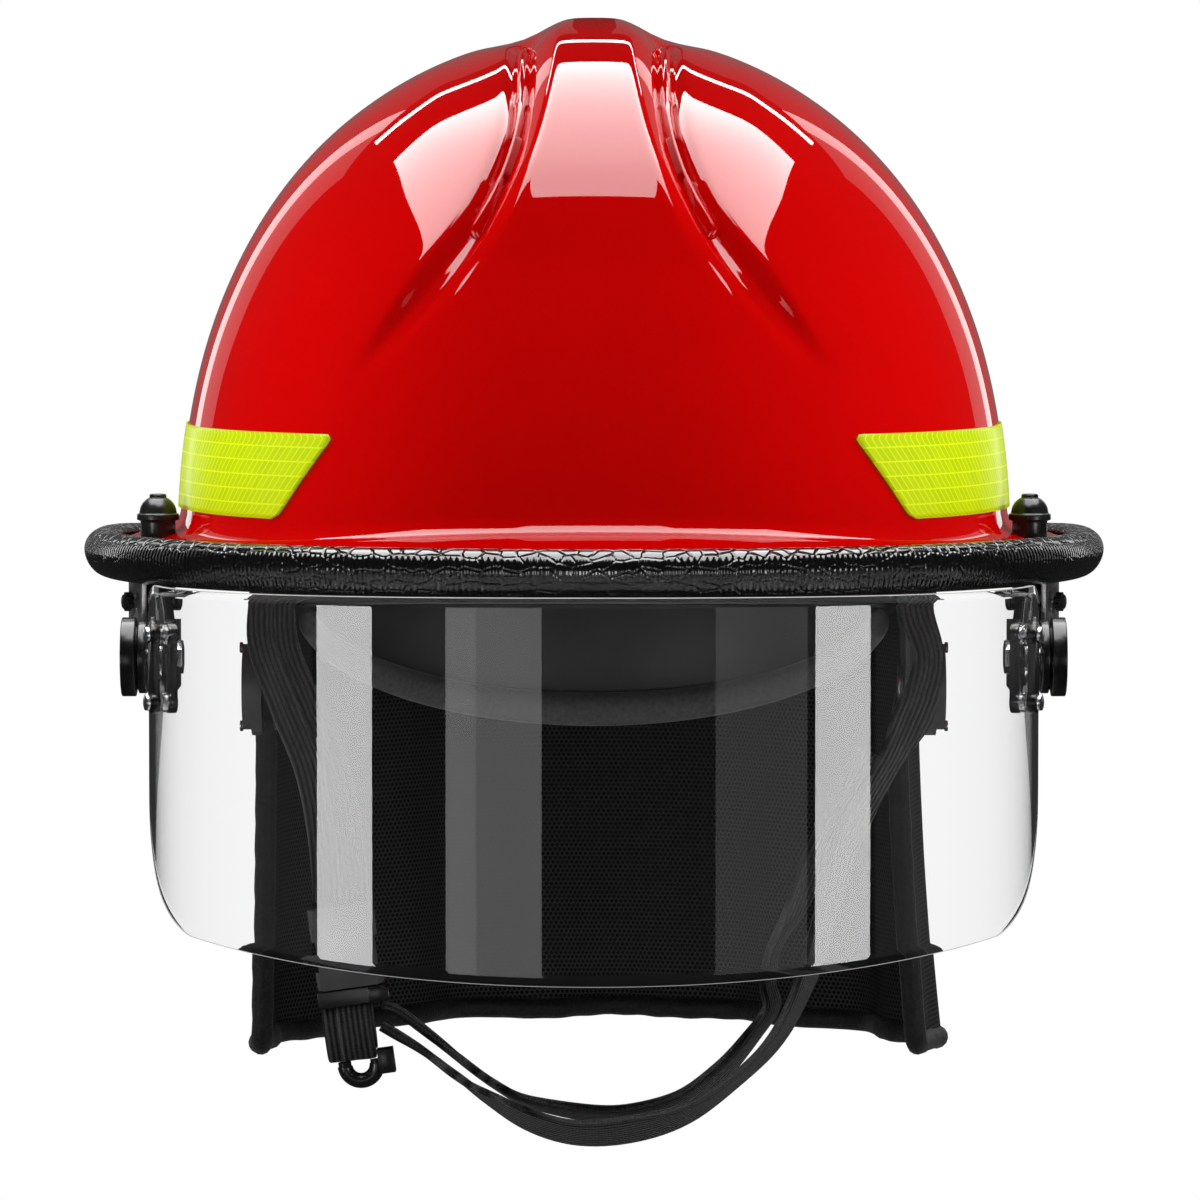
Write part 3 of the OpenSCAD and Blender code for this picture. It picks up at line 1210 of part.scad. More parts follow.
// Inner strap, which leaves the outer one below the ear and rejoins it at the slide
module webbing_inner() {
    color(soft_black) ribbon([[[75.2, strap_y + 3, -52.3], [1, 0.4, 0.4], 9], [[70.8, strap_y + 3.6, -61.4], [1, 0.5, 0.4], 9.5],
        [[65.4, strap_y + 4.4, -72.5], [1, 0.7, 0.4], 10], [[61, strap_y + 5.2, -82.7], [1, 0.7, 0.3], 10],
        [[57.7, strap_y + 6, -91.3], [1, 0.8, 0.3], 9.5], [[53.9, strap_y + 6.8, -99.4], [0.8, 1, 0.3], 8.5],
        [[49.2, strap_y + 7.6, -107.7], [0.5, 1.1, 0.2], 9],
        [[47.9, strap_y + 8, -116.8], [0.45, 1.2, 0.1], 10], [[49, strap_y + 8.4, -123.8], [0.5, 1.2, 0], 11],
        [[43.5, strap_y + 8.8, -132.1], [0.5, 1.2, -0.1], 13],
        [[35.2, strap_y + 9, -141.2], [0.4, 1.2, -0.3], 14],
        [[23.7, strap_y + 9, -149.4], [0.1, 1.1, -0.4], 14.5],
        [[9.4, strap_y + 9, -152.8], [0, 1.1, -0.4], 15], [[-3.9, strap_y + 9, -152.8], [0, 1.1, -0.4], 15],
        [[-18.2, strap_y + 9, -150], [0, 1.1, -0.3], 14], [[-27.5, strap_y + 8.4, -145], [-0.1, 1, -0.1], 12],
        [[-34.7, strap_y + 6.8, -139.5], [-0.2, 1, 0.1], 6], [[-45, strap_y + 4.4, -130.7], [-0.2, 1, 0.2], 4],
        [[-53.8, strap_y + 2.4, -123.9], [-0.1, 1, 0.2], 4], [[-58.2, strap_y + 1.8, -122.5], [-0.1, 1, 0.1], 4]], web_t);
}

outer_shell();
edge_trim();
tape_front_left();
tape_front_right();
tape_rear_left();
tape_rear_right();
impact_liner();
suspension_ring();
headband();
brow_pad();
crown_strap_cross();
crown_strap_left();
crown_strap_right();
crown_pad();
side_arms();
pivot_discs();
pivot_washers();
disc_screws();
nape_cradle();
nape_pad();
ratchet_housing();
ratchet_knob();
rack_left();
rack_right();
cover_tape();
neck_cover();
cover_binding();
visor();
bracket_left();
bracket_right();
bracket_tab_left();
bracket_tab_right();
bracket_screws();
bracket_nuts();
brim_bolts();
cap_nuts();
visor_bolts();
visor_bushes();
knob_left();
knob_right();
outer_clamps();
inner_clamps();
clamp_washers();
clamp_screws();
strap_anchors();
webbing_left();
buckle_body();
buckle_tongue();
prong_left();
prong_right();
webbing_slide();
slide_hook();
webbing_outer();
webbing_inner();
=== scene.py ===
import math

import bpy
import numpy as np
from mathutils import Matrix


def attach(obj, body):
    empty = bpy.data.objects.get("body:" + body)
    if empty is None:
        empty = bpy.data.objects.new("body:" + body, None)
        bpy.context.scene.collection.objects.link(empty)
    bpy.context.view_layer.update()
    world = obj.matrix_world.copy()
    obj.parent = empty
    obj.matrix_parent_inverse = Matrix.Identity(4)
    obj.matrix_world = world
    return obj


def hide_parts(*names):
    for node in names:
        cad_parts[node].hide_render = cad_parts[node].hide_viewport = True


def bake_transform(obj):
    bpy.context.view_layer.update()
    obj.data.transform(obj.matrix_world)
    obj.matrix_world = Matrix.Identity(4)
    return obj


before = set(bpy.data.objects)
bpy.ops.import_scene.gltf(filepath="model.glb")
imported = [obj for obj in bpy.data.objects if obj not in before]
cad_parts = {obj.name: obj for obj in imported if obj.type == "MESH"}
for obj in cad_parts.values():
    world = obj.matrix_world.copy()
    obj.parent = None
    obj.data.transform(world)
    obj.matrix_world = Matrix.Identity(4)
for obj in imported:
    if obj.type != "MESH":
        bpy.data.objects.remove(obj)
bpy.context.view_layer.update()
scene = bpy.context.scene

# The camera stands two metres in front of the helmet and a little above it, and looks slightly down.
CAMERA_AT = (0.0017, -2.0, 0.1)
CAMERA_TILT = 3.27
camera_data = bpy.data.cameras.new("camera")
camera_data.lens = 212.0
camera_data.clip_end = 60.0
camera = bpy.data.objects.new("camera", camera_data)
camera.location = CAMERA_AT
camera.rotation_euler = (math.radians(90 - CAMERA_TILT), 0, 0)
scene.collection.objects.link(camera)
scene.camera = camera
scene.view_settings.view_transform = "Standard"

# Outer shell: a moulded composite dome with a raised centre crest, two raised side panels and a
# brim, finished in a deep gloss gelcoat. It is one skin, lofted from the brim's edge to the crown
# and then given its wall.
MM = 0.001
DOME_X, DOME_Y, DOME_H, DOME_BACK, DOME_ROUND = 117.25, 137.5, 144.5, 9.0, 2.2
CREST_H, CREST_TOP, CREST_SIDE, CREST_FROM, CREST_RUN = 6.0, 10.0, 8.5, 78.0, 28.0
FLARE, FLARE_FROM, FLARE_RUN = 15.5, 136.0, 50.0
VALLEY, VALLEY_RUN = 1.4, 4.0
PANEL_H, PANEL_RISE, PANEL_FROM, PANEL_RUN, PANEL_FADE = 2.6, 3.0, 48.0, 30.0, 42.0
PANEL_GAP, GAP_FROM, GAP_RUN, GAP_SPREAD, GAP_SPLAY = 24.0, 125.0, 43.0, 20.0, 1.6
PANEL_THIN, THIN_FROM, THIN_RUN = 0.6, 112.0, 24.0
BRIM_X, BRIM_FRONT, BRIM_REAR, BRIM_BACK, BRIM_TAPER = 144.0, 160.0, 180.0, 10.0, 0.125
BRIM_SLOPE = math.radians(16.5)
BRIM_LOW, FRONT_RISE, REAR_DIP, BRIM_FILLET, WALL = 1.4, 1.8, 13.0, 4.0, 3.0


def rise(v, start, run):
    """0 up to the start, 1 from the run's end on and smooth between. A negative run goes down."""
    v = np.clip((v - start) / run, 0, 1)
    return v * v * (3 - 2 * v)


def rounded(v, radius):
    """v where it is positive and 0 where it is negative, with the corner rounded."""
    return np.where(v > radius, v, np.where(v < -radius, 0, (v + radius) ** 2 / (4 * radius)))


def signed_power(v, p):
    return np.sign(v) * np.abs(v) ** p


def unit(v):
    return v / np.linalg.norm(v, axis=-1, keepdims=True)


def running(points, axis=0):
    """The length along rows or columns of points, from the first one."""
    step = np.diff(points, axis=axis, prepend=np.take(points, [0], axis))
    return np.cumsum(np.linalg.norm(step, axis=-1), axis=axis)


def dome_point(turn, z, inset=0.0):
    """A point of the plain dome in millimetres. The turn starts at +X and runs to the rear."""
    t = np.radians(turn)
    s = (1 - np.clip(z / (DOME_H - inset), 0, 1) ** DOME_ROUND) ** (1 / DOME_ROUND)
    x = (DOME_X - inset) * signed_power(np.cos(t), 2 / DOME_ROUND) * s
    y = DOME_BACK + (DOME_Y - inset) * signed_power(np.sin(t), 2 / DOME_ROUND) * s
    return np.stack([x, y, z + 0 * x], -1)


def dome_normal(p):
    return unit(np.stack([p[..., 0] / DOME_X**2, (p[..., 1] - DOME_BACK) / DOME_Y**2,
                          np.maximum(0, p[..., 2]) / DOME_H**2], -1))


def crest_flat(z):
    """Half the width of the crest's flat top at a level."""
    return CREST_TOP + FLARE * (np.maximum(0, FLARE_FROM - z) / FLARE_RUN) ** 2


def panel_edge(z):
    """How far the side panels stand from the middle at a level."""
    t = (GAP_FROM - z) / GAP_RUN
    return PANEL_GAP + GAP_SPREAD * np.where(t < 0, 0, np.where(t < 1, t * t, 1 + (t - 1) * GAP_SPLAY))


def crest_over(x, z):
    """How far the crest, its valleys and the side panels stand over the dome."""
    ax = np.abs(x)
    flat, panel = crest_flat(z), panel_edge(z)
    foot = flat + CREST_SIDE
    crest = CREST_H * (rounded(foot - ax, 1.3) - rounded(flat - ax, 1.0)) / CREST_SIDE
    edge = (rounded(ax - panel + PANEL_RISE, 1.0) - rounded(ax - panel, 1.2)) / PANEL_RISE
    valley = -VALLEY * (1 - edge) * rise(ax, foot - VALLEY_RUN, VALLEY_RUN)
    tall = PANEL_H * (1 - PANEL_THIN * rise(z, THIN_FROM, THIN_RUN)) * edge * rise(ax, panel + PANEL_FADE, -PANEL_FADE)
    return crest * rise(z, CREST_FROM, CREST_RUN) + (valley + tall) * rise(z, PANEL_FROM, PANEL_RUN)


def brim_plan(turn):
    t = np.radians(turn)
    s = np.sin(t)
    narrow = np.where(s < 0, 1 - BRIM_TAPER * s * s, 1.0)
    return np.stack([BRIM_X * np.cos(t) * narrow,
                     BRIM_BACK + np.where(s < 0, BRIM_FRONT + BRIM_BACK, BRIM_REAR - BRIM_BACK) * s], -1)


def brim_height(turn):
    s = np.sin(np.radians(turn))
    return -BRIM_LOW + np.where(s < 0, FRONT_RISE, -REAR_DIP) * s * s


def brim_point(turn, depth, height):
    """A point on the sloping brim: depth runs inwards from the trim's edge, height is square to it."""
    p = brim_plan(turn)
    way = unit(dome_point(turn, np.zeros_like(turn))[..., :2] - p)
    run = depth * math.cos(BRIM_SLOPE) - height * math.sin(BRIM_SLOPE)
    z = brim_height(turn) + depth * math.sin(BRIM_SLOPE) + height * math.cos(BRIM_SLOPE)
    return np.stack([p[..., 0] + way[..., 0] * run, p[..., 1] + way[..., 1] * run, z], -1)


def select_none():
    bpy.ops.object.select_all(action="DESELECT")
    bpy.context.view_layer.objects.active = None


def surface(name, points, uv, caps=False):
    """A grid primitive whose rows and columns are laid on the given points, in millimetres. Edges
    that meet are merged, open tube ends are filled with caps, and uv is in metres."""
    select_none()
    rows, cols = points.shape[:2]
    bpy.ops.mesh.primitive_grid_add(x_subdivisions=cols - 1, y_subdivisions=rows - 1, size=1)
    obj = bpy.context.object
    obj.name = obj.data.name = name
    flat = points.reshape(-1, 3) * MM
    obj.data.vertices.foreach_set("co", flat.astype(np.float32).ravel())
    corner = np.zeros(len(obj.data.loops), np.int32)
    obj.data.loops.foreach_get("vertex_index", corner)
    obj.data.uv_layers.active.data.foreach_set("uv", uv.reshape(-1, 2)[corner].astype(np.float32).ravel())
    bpy.ops.object.mode_set(mode="EDIT")
    bpy.ops.mesh.select_all(action="SELECT")
    bpy.ops.mesh.remove_doubles(threshold=0.00001)
    if caps:
        bpy.ops.mesh.select_all(action="DESELECT")
        bpy.ops.mesh.select_non_manifold()
        bpy.ops.mesh.fill_holes(sides=0)
    bpy.ops.mesh.select_all(action="SELECT")
    bpy.ops.mesh.normals_make_consistent(inside=False)
    bpy.ops.object.mode_set(mode="OBJECT")
    bpy.ops.object.shade_smooth()
    obj.data.update()
    return obj


def finish_with(obj, kind, **settings):
    """Adds one modifier with its settings and applies it."""
    bpy.context.view_layer.objects.active = obj
    modifier = obj.modifiers.new(kind.title(), kind)
    for key, value in settings.items():
        setattr(modifier, key, value)
    bpy.ops.object.modifier_apply(modifier=modifier.name)


def material(name, **sockets):
    """A new material whose values are set on the shader's own sockets."""
    made = bpy.data.materials.new(name)
    made.use_nodes = True
    shader = made.node_tree.nodes["Principled BSDF"]
    for key, value in sockets.items():
        shader.inputs[key.replace("_", " ")].default_value = value
    return made


def plug(made, value, socket):
    """Gives a socket a value, an output or a node's first output."""
    if isinstance(value, bpy.types.Node):
        value = value.outputs[0]
    if isinstance(value, bpy.types.NodeSocket):
        made.node_tree.links.new(value, socket)
    else:
        socket.default_value = value


def add_node(made, kind, settings=None, **inputs):
    """A node with its settings and inputs."""
    item = made.node_tree.nodes.new("ShaderNode" + kind)
    for key, value in (settings or {}).items():
        setattr(item, key, value)
    for key, value in inputs.items():
        numbered = key[0] == "i" and key[1:].isdigit()
        socket = item.inputs[int(key[1:]) if numbered else key.replace("_", " ")]
        plug(made, value, socket)
    return item


def drive(made, socket, value):
    plug(made, value, made.node_tree.nodes["Principled BSDF"].inputs[socket])


def math_node(made, operation, a, b=0.5, c=0.5):
    return add_node(made, "Math", {"operation": operation}, i0=a, i1=b, i2=c)


def noise(made, scale, detail, stretch=None):
    """Noise in the piece's own space, which may be stretched first."""
    place = add_node(made, "TexCoord").outputs["Object"]
    if stretch:
        place = add_node(made, "Mapping", Vector=place, Scale=stretch)
    return add_node(made, "TexNoise", Vector=place, Scale=scale, Detail=detail)


def tint(made, value, low, dark, high, pale):
    """Colours a finish from dark to pale as a pattern's value goes from low to high."""
    item = add_node(made, "ValToRGB", Fac=value)
    for element, spot, colour in zip(item.color_ramp.elements, (low, high), (dark, pale)):
        element.position = spot
        element.color = (*colour, 1)
    drive(made, "Base Color", item)


def bump(made, height, strength, distance):
    drive(made, "Normal", add_node(made, "Bump", Height=height, Strength=strength, Distance=distance))


def paint(obj, made):
    obj.data.materials.clear()
    obj.data.materials.append(made)


def settle(obj, made, body, slot, *nodes):
    """Gives the piece its finish, makes it ride on its body and take the place of its solids."""
    paint(obj, made)
    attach(obj, body)
    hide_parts(*nodes)


# Columns of points follow the lines of the crest high up and are even low down.
QUARTER, LINE_COLUMNS, LINES_END, BUNCHED = 88, 55, 82.0, 12.0
FOLLOW_FROM, FOLLOW_RUN = 36.0, 34.0
column = np.arange(4 * QUARTER + 1)
even_turn = 360 * (column % (4 * QUARTER)) / (4 * QUARTER)
even_turn = even_turn + BUNCHED * np.sin(np.radians(2 * even_turn))


def crest_columns(z):
    """Where the lines of the crest and the panels need columns, from the middle outwards."""
    f, p = crest_flat(z), panel_edge(z)
    foot, m = f + CREST_SIDE, p - PANEL_RISE
    a, b = foot + 1.6, m - 1.4
    return [0, 0.35 * f, 0.7 * f, f - 1.6, f - 0.8, f, f + 0.8, f + 1.6, f + CREST_SIDE / 2, foot - 1.6,
            foot - 0.8, foot, foot + 0.8, a, a + (b - a) * 0.33, a + (b - a) * 0.67, b, m - 0.7, m, m + 0.7,
            m + 1.5, p - 0.7, p, p + 0.8, p + 1.8, p + 4.5, p + 10, p + 18]


def column_turn(z):
    """The turn of every column at a level."""
    c = np.abs(column % (2 * QUARTER) - QUARTER)
    u = 90 * c / QUARTER
    even = u - BUNCHED * np.sin(np.radians(2 * u))
    follow = rise(z, FOLLOW_FROM, FOLLOW_RUN)
    half = DOME_X * (1 - (z / DOME_H) ** DOME_ROUND) ** (1 / DOME_ROUND)
    named = crest_columns(z)
    lines = np.interp(np.arange(LINE_COLUMNS) / 2, np.arange(len(named)), named)
    turn = np.degrees(np.arcsin(np.minimum(1, np.maximum(0, lines) / half) ** (DOME_ROUND / 2)))
    turn = np.minimum(turn, LINES_END * np.arange(LINE_COLUMNS) / (LINE_COLUMNS - 1))
    full = np.concatenate([turn, np.linspace(turn[-1], 90, QUARTER - LINE_COLUMNS + 2)[1:]])
    e = even * (1 - follow) + full[c] * follow
    first = column % (2 * QUARTER) < QUARTER
    return np.where(column % (4 * QUARTER) < 2 * QUARTER, 90, 270) + np.where(first, -e, e)


def shell_row(turn, level):
    p = dome_point(turn, level)
    return p + dome_normal(p) * crest_over(p[:, 0], p[:, 2])[:, None]


EDGE_IN, DOME_ROWS, SOFT_FROM, SOFT_RUN = 3.8, 104, 56.0, 24.0
plan = dome_point(even_turn, np.zeros(len(column)))
reach = np.linalg.norm(plan[:, :2] - brim_plan(even_turn), axis=1) + WALL / 2 * math.sin(BRIM_SLOPE)
reach = reach / math.cos(BRIM_SLOPE)
rows = [brim_point(even_turn, EDGE_IN + (reach - BRIM_FILLET - EDGE_IN) * u, WALL / 2) for u in (0, 0.25, 0.5, 0.75, 1)]
corner = plan.copy()
corner[:, 2] = brim_height(even_turn) + reach * math.sin(BRIM_SLOPE) + WALL / 2 * math.cos(BRIM_SLOPE)
foot_row = rows[-1]
head_z = np.maximum(0.5, corner[:, 2] + BRIM_FILLET)
head_row = dome_point(even_turn, head_z)
for u in (0.15, 0.32, 0.5, 0.68, 0.85):
    a = foot_row * (1 - u) + corner * u
    b = corner * (1 - u) + head_row * u
    rows.append(a * (1 - u) + b * u)
top_half = [30, 24, 19, 15, 12, 9.5, 7, 4.5, 2.2]
top_levels = [DOME_H * (1 - (w / DOME_X) ** DOME_ROUND) ** (1 / DOME_ROUND) for w in top_half]
start = np.degrees(np.arcsin((head_z / DOME_H) ** (DOME_ROUND / 2)))
end = math.degrees(math.asin((top_levels[0] / DOME_H) ** (DOME_ROUND / 2)))
for j in range(DOME_ROWS):
    level = DOME_H * np.sin(np.radians(start + (end - start) * j / DOME_ROWS)) ** (2 / DOME_ROUND)
    rows.append(shell_row(np.array([column_turn(v)[k] for k, v in enumerate(level)]), level))
for level in top_levels:
    rows.append(shell_row(column_turn(level), np.full(len(column), level)))
rows.append(np.tile([0, DOME_BACK, DOME_H + CREST_H], (len(column), 1)))
rows = np.array(rows)
shell_uv = np.stack(np.meshgrid(np.linspace(0, 1, rows.shape[1]), np.linspace(0, 0.3, rows.shape[0])), -1)
shell = surface("shell", rows, shell_uv)
soft_part = shell.vertex_groups.new(name="crest")
for vertex in shell.data.vertices:
    weight = float(rise(vertex.co.z / MM, SOFT_FROM, SOFT_RUN))
    if weight > 0:
        soft_part.add([vertex.index], weight, "REPLACE")
finish_with(shell, "SMOOTH", factor=0.5, iterations=20, vertex_group="crest")
finish_with(shell, "SOLIDIFY", thickness=WALL * MM)

gelcoat = material("red_gelcoat", Roughness=0.4, Specular_IOR_Level=0.0, Coat_Weight=1.0, Coat_Roughness=0.02,
                   Coat_IOR=1.38)
tint(gelcoat, noise(gelcoat, 9.0, 3.0), 0.3, (0.62, 0.0002, 0.0002), 0.7, (0.70, 0.0003, 0.0003))
bump(gelcoat, noise(gelcoat, 420.0, 2.0), 0.03, 0.0002)
settle(shell, gelcoat, "helmet", "shell_red", "outer_shell")

# Edge trim: an extruded rubber roll pushed over the brim's edge, with a crackled grain on top and
# fine ribs round its nose. It is one section swept round the brim.
FULLER_BELOW, BUNCHED_TRIM = 1.2, 6.0
RIB_RATE, RIBS_FROM, RIBS_TO, RIBS_SHARE = 3600.0, 0.0105, 0.026, 0.6
CRACK_WIDTH, CRACK_SLOPE = 0.055, 0.12
trim_turn = np.concatenate([np.arange(0, 360, 1.0), [0.0]])
trim_turn = trim_turn + BUNCHED_TRIM * np.sin(np.radians(2 * trim_turn))
half_section = [(11.5, 2.7), (10.6, 3.7), (9.2, 4.8), (7.4, 5.7), (5.4, 6.1), (3.5, 5.8), (1.7, 4.9), (0.5, 3.6),
                (-0.3, 2.0), (-0.6, 0.0)]
section = half_section + [(d, -FULLER_BELOW * h) for d, h in half_section[-2::-1]]
section += [(11.3, -1.8), (3.5, -1.8), (3.5, 1.8), (11.3, 1.8), (11.5, 2.7)]
points = np.array([brim_point(trim_turn, d, h) for d, h in section])
trim_uv = np.stack(np.meshgrid(running(points[4]), running(np.array(section))), -1) * MM
trim = surface("edge_trim_roll", points, trim_uv)
finish_with(trim, "SUBSURF", levels=1, render_levels=1)

rubber = material("crackled_rubber", Roughness=0.15)
flat = add_node(rubber, "UVMap")
stretch = add_node(rubber, "Mapping", Vector=flat, Scale=(210.0, 260.0, 1.0))
warp = add_node(rubber, "TexNoise", Vector=stretch, Scale=0.7, Detail=1.0)
bent = add_node(rubber, "MixRGB", {"blend_type": "ADD"}, Fac=0.5, Color1=stretch, Color2=warp.outputs[1])
cells = add_node(rubber, "TexVoronoi", {"feature": "DISTANCE_TO_EDGE", "voronoi_dimensions": "2D"},
                 Vector=bent, Scale=1.0, Randomness=0.85)
crack = math_node(rubber, "LESS_THAN", cells.outputs["Distance"], CRACK_WIDTH)
split = add_node(rubber, "SeparateXYZ", Vector=flat)
ribs = math_node(rubber, "SINE", math_node(rubber, "MULTIPLY", split.outputs[0], RIB_RATE))
nose = math_node(rubber, "MULTIPLY", math_node(rubber, "GREATER_THAN", split.outputs[1], RIBS_FROM),
                 math_node(rubber, "LESS_THAN", split.outputs[1], RIBS_TO))
island = math_node(rubber, "SMOOTH_MIN", cells.outputs["Distance"], CRACK_SLOPE, 0.06)
height = add_node(rubber, "Mix", i0=math_node(rubber, "MULTIPLY", nose, RIBS_SHARE),
                  i2=math_node(rubber, "MULTIPLY", island, 6.0), i3=math_node(rubber, "MULTIPLY", ribs, 0.35))
bump(rubber, height, 0.8, 0.0006)
drive(rubber, "Base Color", add_node(rubber, "MixRGB", Fac=crack, Color1=(0.003, 0.003, 0.003, 1),
                                     Color2=(0.001, 0.001, 0.001, 1)))
settle(trim, rubber, "helmet", "trim_rubber", "edge_trim")

# Reflective tape: four trapezoids of lime prismatic film stuck on the dome above the brim, longer
# at their upper edge and with rounded corners. Each is a sheet laid on the dome.
TAPE_Z, TAPE_H, TAPE_SLANT, TAPE_LIFT, TAPE_T, TAPE_CORNER = 12.8, 23.2, 10.0, 0.25, 0.6, 2.4
MM_PER_DEGREE = 2.1


def tape_sheet(name, start_turn, end_turn, side):
    v = np.linspace(0, 1, 19)[:, None]
    u = np.linspace(0, 1, 61)[None, :]
    into = np.maximum(0, TAPE_CORNER - np.minimum(v, 1 - v) * TAPE_H)
    inset = (TAPE_CORNER - np.sqrt(TAPE_CORNER**2 - into**2)) / MM_PER_DEGREE
    a = start_turn + TAPE_SLANT * (1 - v) + inset
    b = end_turn - TAPE_SLANT * (1 - v) - inset
    p = dome_point(a + (b - a) * u, TAPE_Z + TAPE_H * v + 0 * u)
    p = p + dome_normal(p) * (TAPE_LIFT + TAPE_T)
    uv = np.stack([running(p, 1), TAPE_H * v + 0 * u], -1) * MM
    p[..., 0] *= side
    piece = surface(name, p, uv)
    if piece.data.polygons[0].normal.dot(piece.data.polygons[0].center) < 0:
        piece.data.flip_normals()
    finish_with(piece, "SOLIDIFY", thickness=TAPE_T * MM)
    return piece


# The film's faint lime emission is a painted glow: it brightens the tape as if more light fell on it.
film = material("lime_film_with_painted_glow", Roughness=0.28, Specular_IOR_Level=0.05, Coat_Weight=0.08, Coat_Roughness=0.06,
                Emission_Color=(0.75, 1.0, 0.0, 1), Emission_Strength=0.12)
flat = add_node(film, "UVMap")
bricks = add_node(film, "TexBrick", {"offset": 0.5}, Vector=flat, Color1=(0.52, 0.67, 0.0, 1),
                  Color2=(0.46, 0.61, 0.0, 1), Mortar=(0.72, 0.85, 0.01, 1), Scale=1.0, Mortar_Size=0.0003,
                  Mortar_Smooth=0.6, Brick_Width=0.0026, Row_Height=0.0039)
drive(film, "Base Color", bricks)
bump(film, bricks.outputs[1], 0.25, 0.0002)
for end, first, last in (("front", -55, 6), ("rear", 20, 80)):
    for word, side in (("right", 1), ("left", -1)):
        name = "tape_" + end + "_" + word
        settle(tape_sheet(name + "_film", first, last, side), film, "helmet", "tape_lime", name)

# Impact liner: a thick moulded foam cap pressed into the dome, with a bead texture. It is a skin
# set in from the dome, thickened inwards.
LINER_OFF, LINER_T, LINER_Z = 4.3, 18.0, 15.7
turns = np.linspace(0, 360, 121)
low = math.degrees(math.asin((LINER_Z / (DOME_H - LINER_OFF)) ** (DOME_ROUND / 2)))
climb = np.radians(np.linspace(low, 90, 25))[:, None]
rows = dome_point(turns, (DOME_H - LINER_OFF) * np.sin(climb) ** (2 / DOME_ROUND), LINER_OFF)
liner = surface("foam_liner", rows, np.stack(np.meshgrid(turns / 360, np.linspace(0, 0.3, 25)), -1))
finish_with(liner, "SOLIDIFY", thickness=LINER_T * MM)
foam = material("bead_foam", Roughness=0.8)
beads = add_node(foam, "TexVoronoi", Vector=add_node(foam, "TexCoord").outputs["Object"], Scale=260.0)
tint(foam, beads, 0.0, (0.10, 0.10, 0.10), 0.8, (0.055, 0.055, 0.055))
bump(foam, beads, 0.5, 0.0006)
settle(liner, foam, "helmet", "liner_foam", "impact_liner")

# Suspension: a moulded ring that carries the harness, the headband, two side arms and their
# stepped discs. They are injection mouldings, so each solid is copied and its edges are rounded.


def merged_copy(node, name, reach, flat=0):
    """A copy of a solid whose close vertices are merged, and its faces too where they are flat."""
    select_none()
    copy = bpy.data.objects.new(name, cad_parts[node].data.copy())
    scene.collection.objects.link(copy)
    copy.data.materials.clear()
    bpy.context.view_layer.objects.active = copy
    copy.select_set(True)
    bpy.ops.object.mode_set(mode="EDIT")
    bpy.ops.mesh.select_all(action="SELECT")
    bpy.ops.mesh.remove_doubles(threshold=reach)
    if flat:
        bpy.ops.mesh.dissolve_limited(angle_limit=flat)
    bpy.ops.object.mode_set(mode="OBJECT")
    return copy


def rounded_copy(node, name, width, body, slot, made, segments=2):
    """A copy of a rigid solid with merged faces and rounded edges, which stands for the solid."""
    copy = merged_copy(node, name, 0.000002, math.radians(0.6))
    if copy.data.has_custom_normals:
        bpy.ops.mesh.customdata_custom_splitnormals_clear()
    finish_with(copy, "BEVEL", width=width * MM, segments=segments, limit_method="ANGLE",
                angle_limit=math.radians(35))
    bpy.ops.object.shade_smooth_by_angle(angle=math.radians(32))
    settle(copy, made, body, slot, node)
    return copy


def moulded(name, colour, roughness, grain=0.12):
    """Moulded plastic with a fine spark grain and slightly uneven gloss."""
    made = material(name, Roughness=roughness, Specular_IOR_Level=0.32)
    bump(made, noise(made, 900.0, 2.0), grain, 0.0003)
    patch = noise(made, 40.0, 2.0)
    tint(made, patch, 0.35, tuple(c * 0.8 for c in colour), 0.65, colour)
    drive(made, "Roughness", math_node(made, "MULTIPLY_ADD", patch, 0.18, roughness - 0.09))
    return made


harness_plastic = moulded("harness_plastic", (0.016, 0.016, 0.017), 0.42)
for node, name, width in (("suspension_ring", "suspension_ring_moulding", 0.6), ("headband", "headband_strip", 0.5),
                          ("side_arms", "side_arm_mouldings", 0.5)):
    rounded_copy(node, name, width, "helmet", "harness_black", harness_plastic)
disc_plastic = moulded("disc_plastic", (0.06, 0.06, 0.062), 0.34, 0.06)
rounded_copy("pivot_discs", "pivot_disc_mouldings", 1.0, "helmet", "harness_black", disc_plastic, 4)
rounded_copy("strap_anchors", "strap_anchor_mouldings", 0.4, "helmet", "harness_black", harness_plastic)

# Small steel fittings of the harness: washers behind the pivots and two screws in each disc,
# turned and left bright.
bright_steel = material("bright_steel", Metallic=1.0, Roughness=0.26)
turned = noise(bright_steel, 3.0, 2.0, (60.0, 900.0, 900.0))
tint(bright_steel, turned, 0.3, (0.42, 0.43, 0.45), 0.7, (0.66, 0.67, 0.69))
bump(bright_steel, turned, 0.1, 0.0001)
rounded_copy("pivot_washers", "pivot_washer_pair", 0.2, "helmet", "steel", bright_steel)
rounded_copy("disc_screws", "disc_screw_set", 0.25, "helmet", "steel", bright_steel)

# Crown straps and pads: three woven straps cross over the head under the liner, and padded
# cushions sit at the crown and brow. The pads are inflated cloth over foam.
weave = material("harness_webbing", Roughness=0.75, Sheen_Weight=0.25)
threads = add_node(weave, "TexWave", {"wave_type": "BANDS", "bands_direction": "DIAGONAL"},
                   Vector=add_node(weave, "TexCoord").outputs["Object"], Scale=260.0, Distortion=1.2, Detail=1.0)
tint(weave, threads, 0.2, (0.03, 0.03, 0.031), 0.8, (0.075, 0.075, 0.078))
bump(weave, threads, 0.4, 0.0003)
for node in ("crown_strap_cross", "crown_strap_left", "crown_strap_right"):
    rounded_copy(node, node + "_webbing", 0.4, "helmet", "strap_grey", weave)

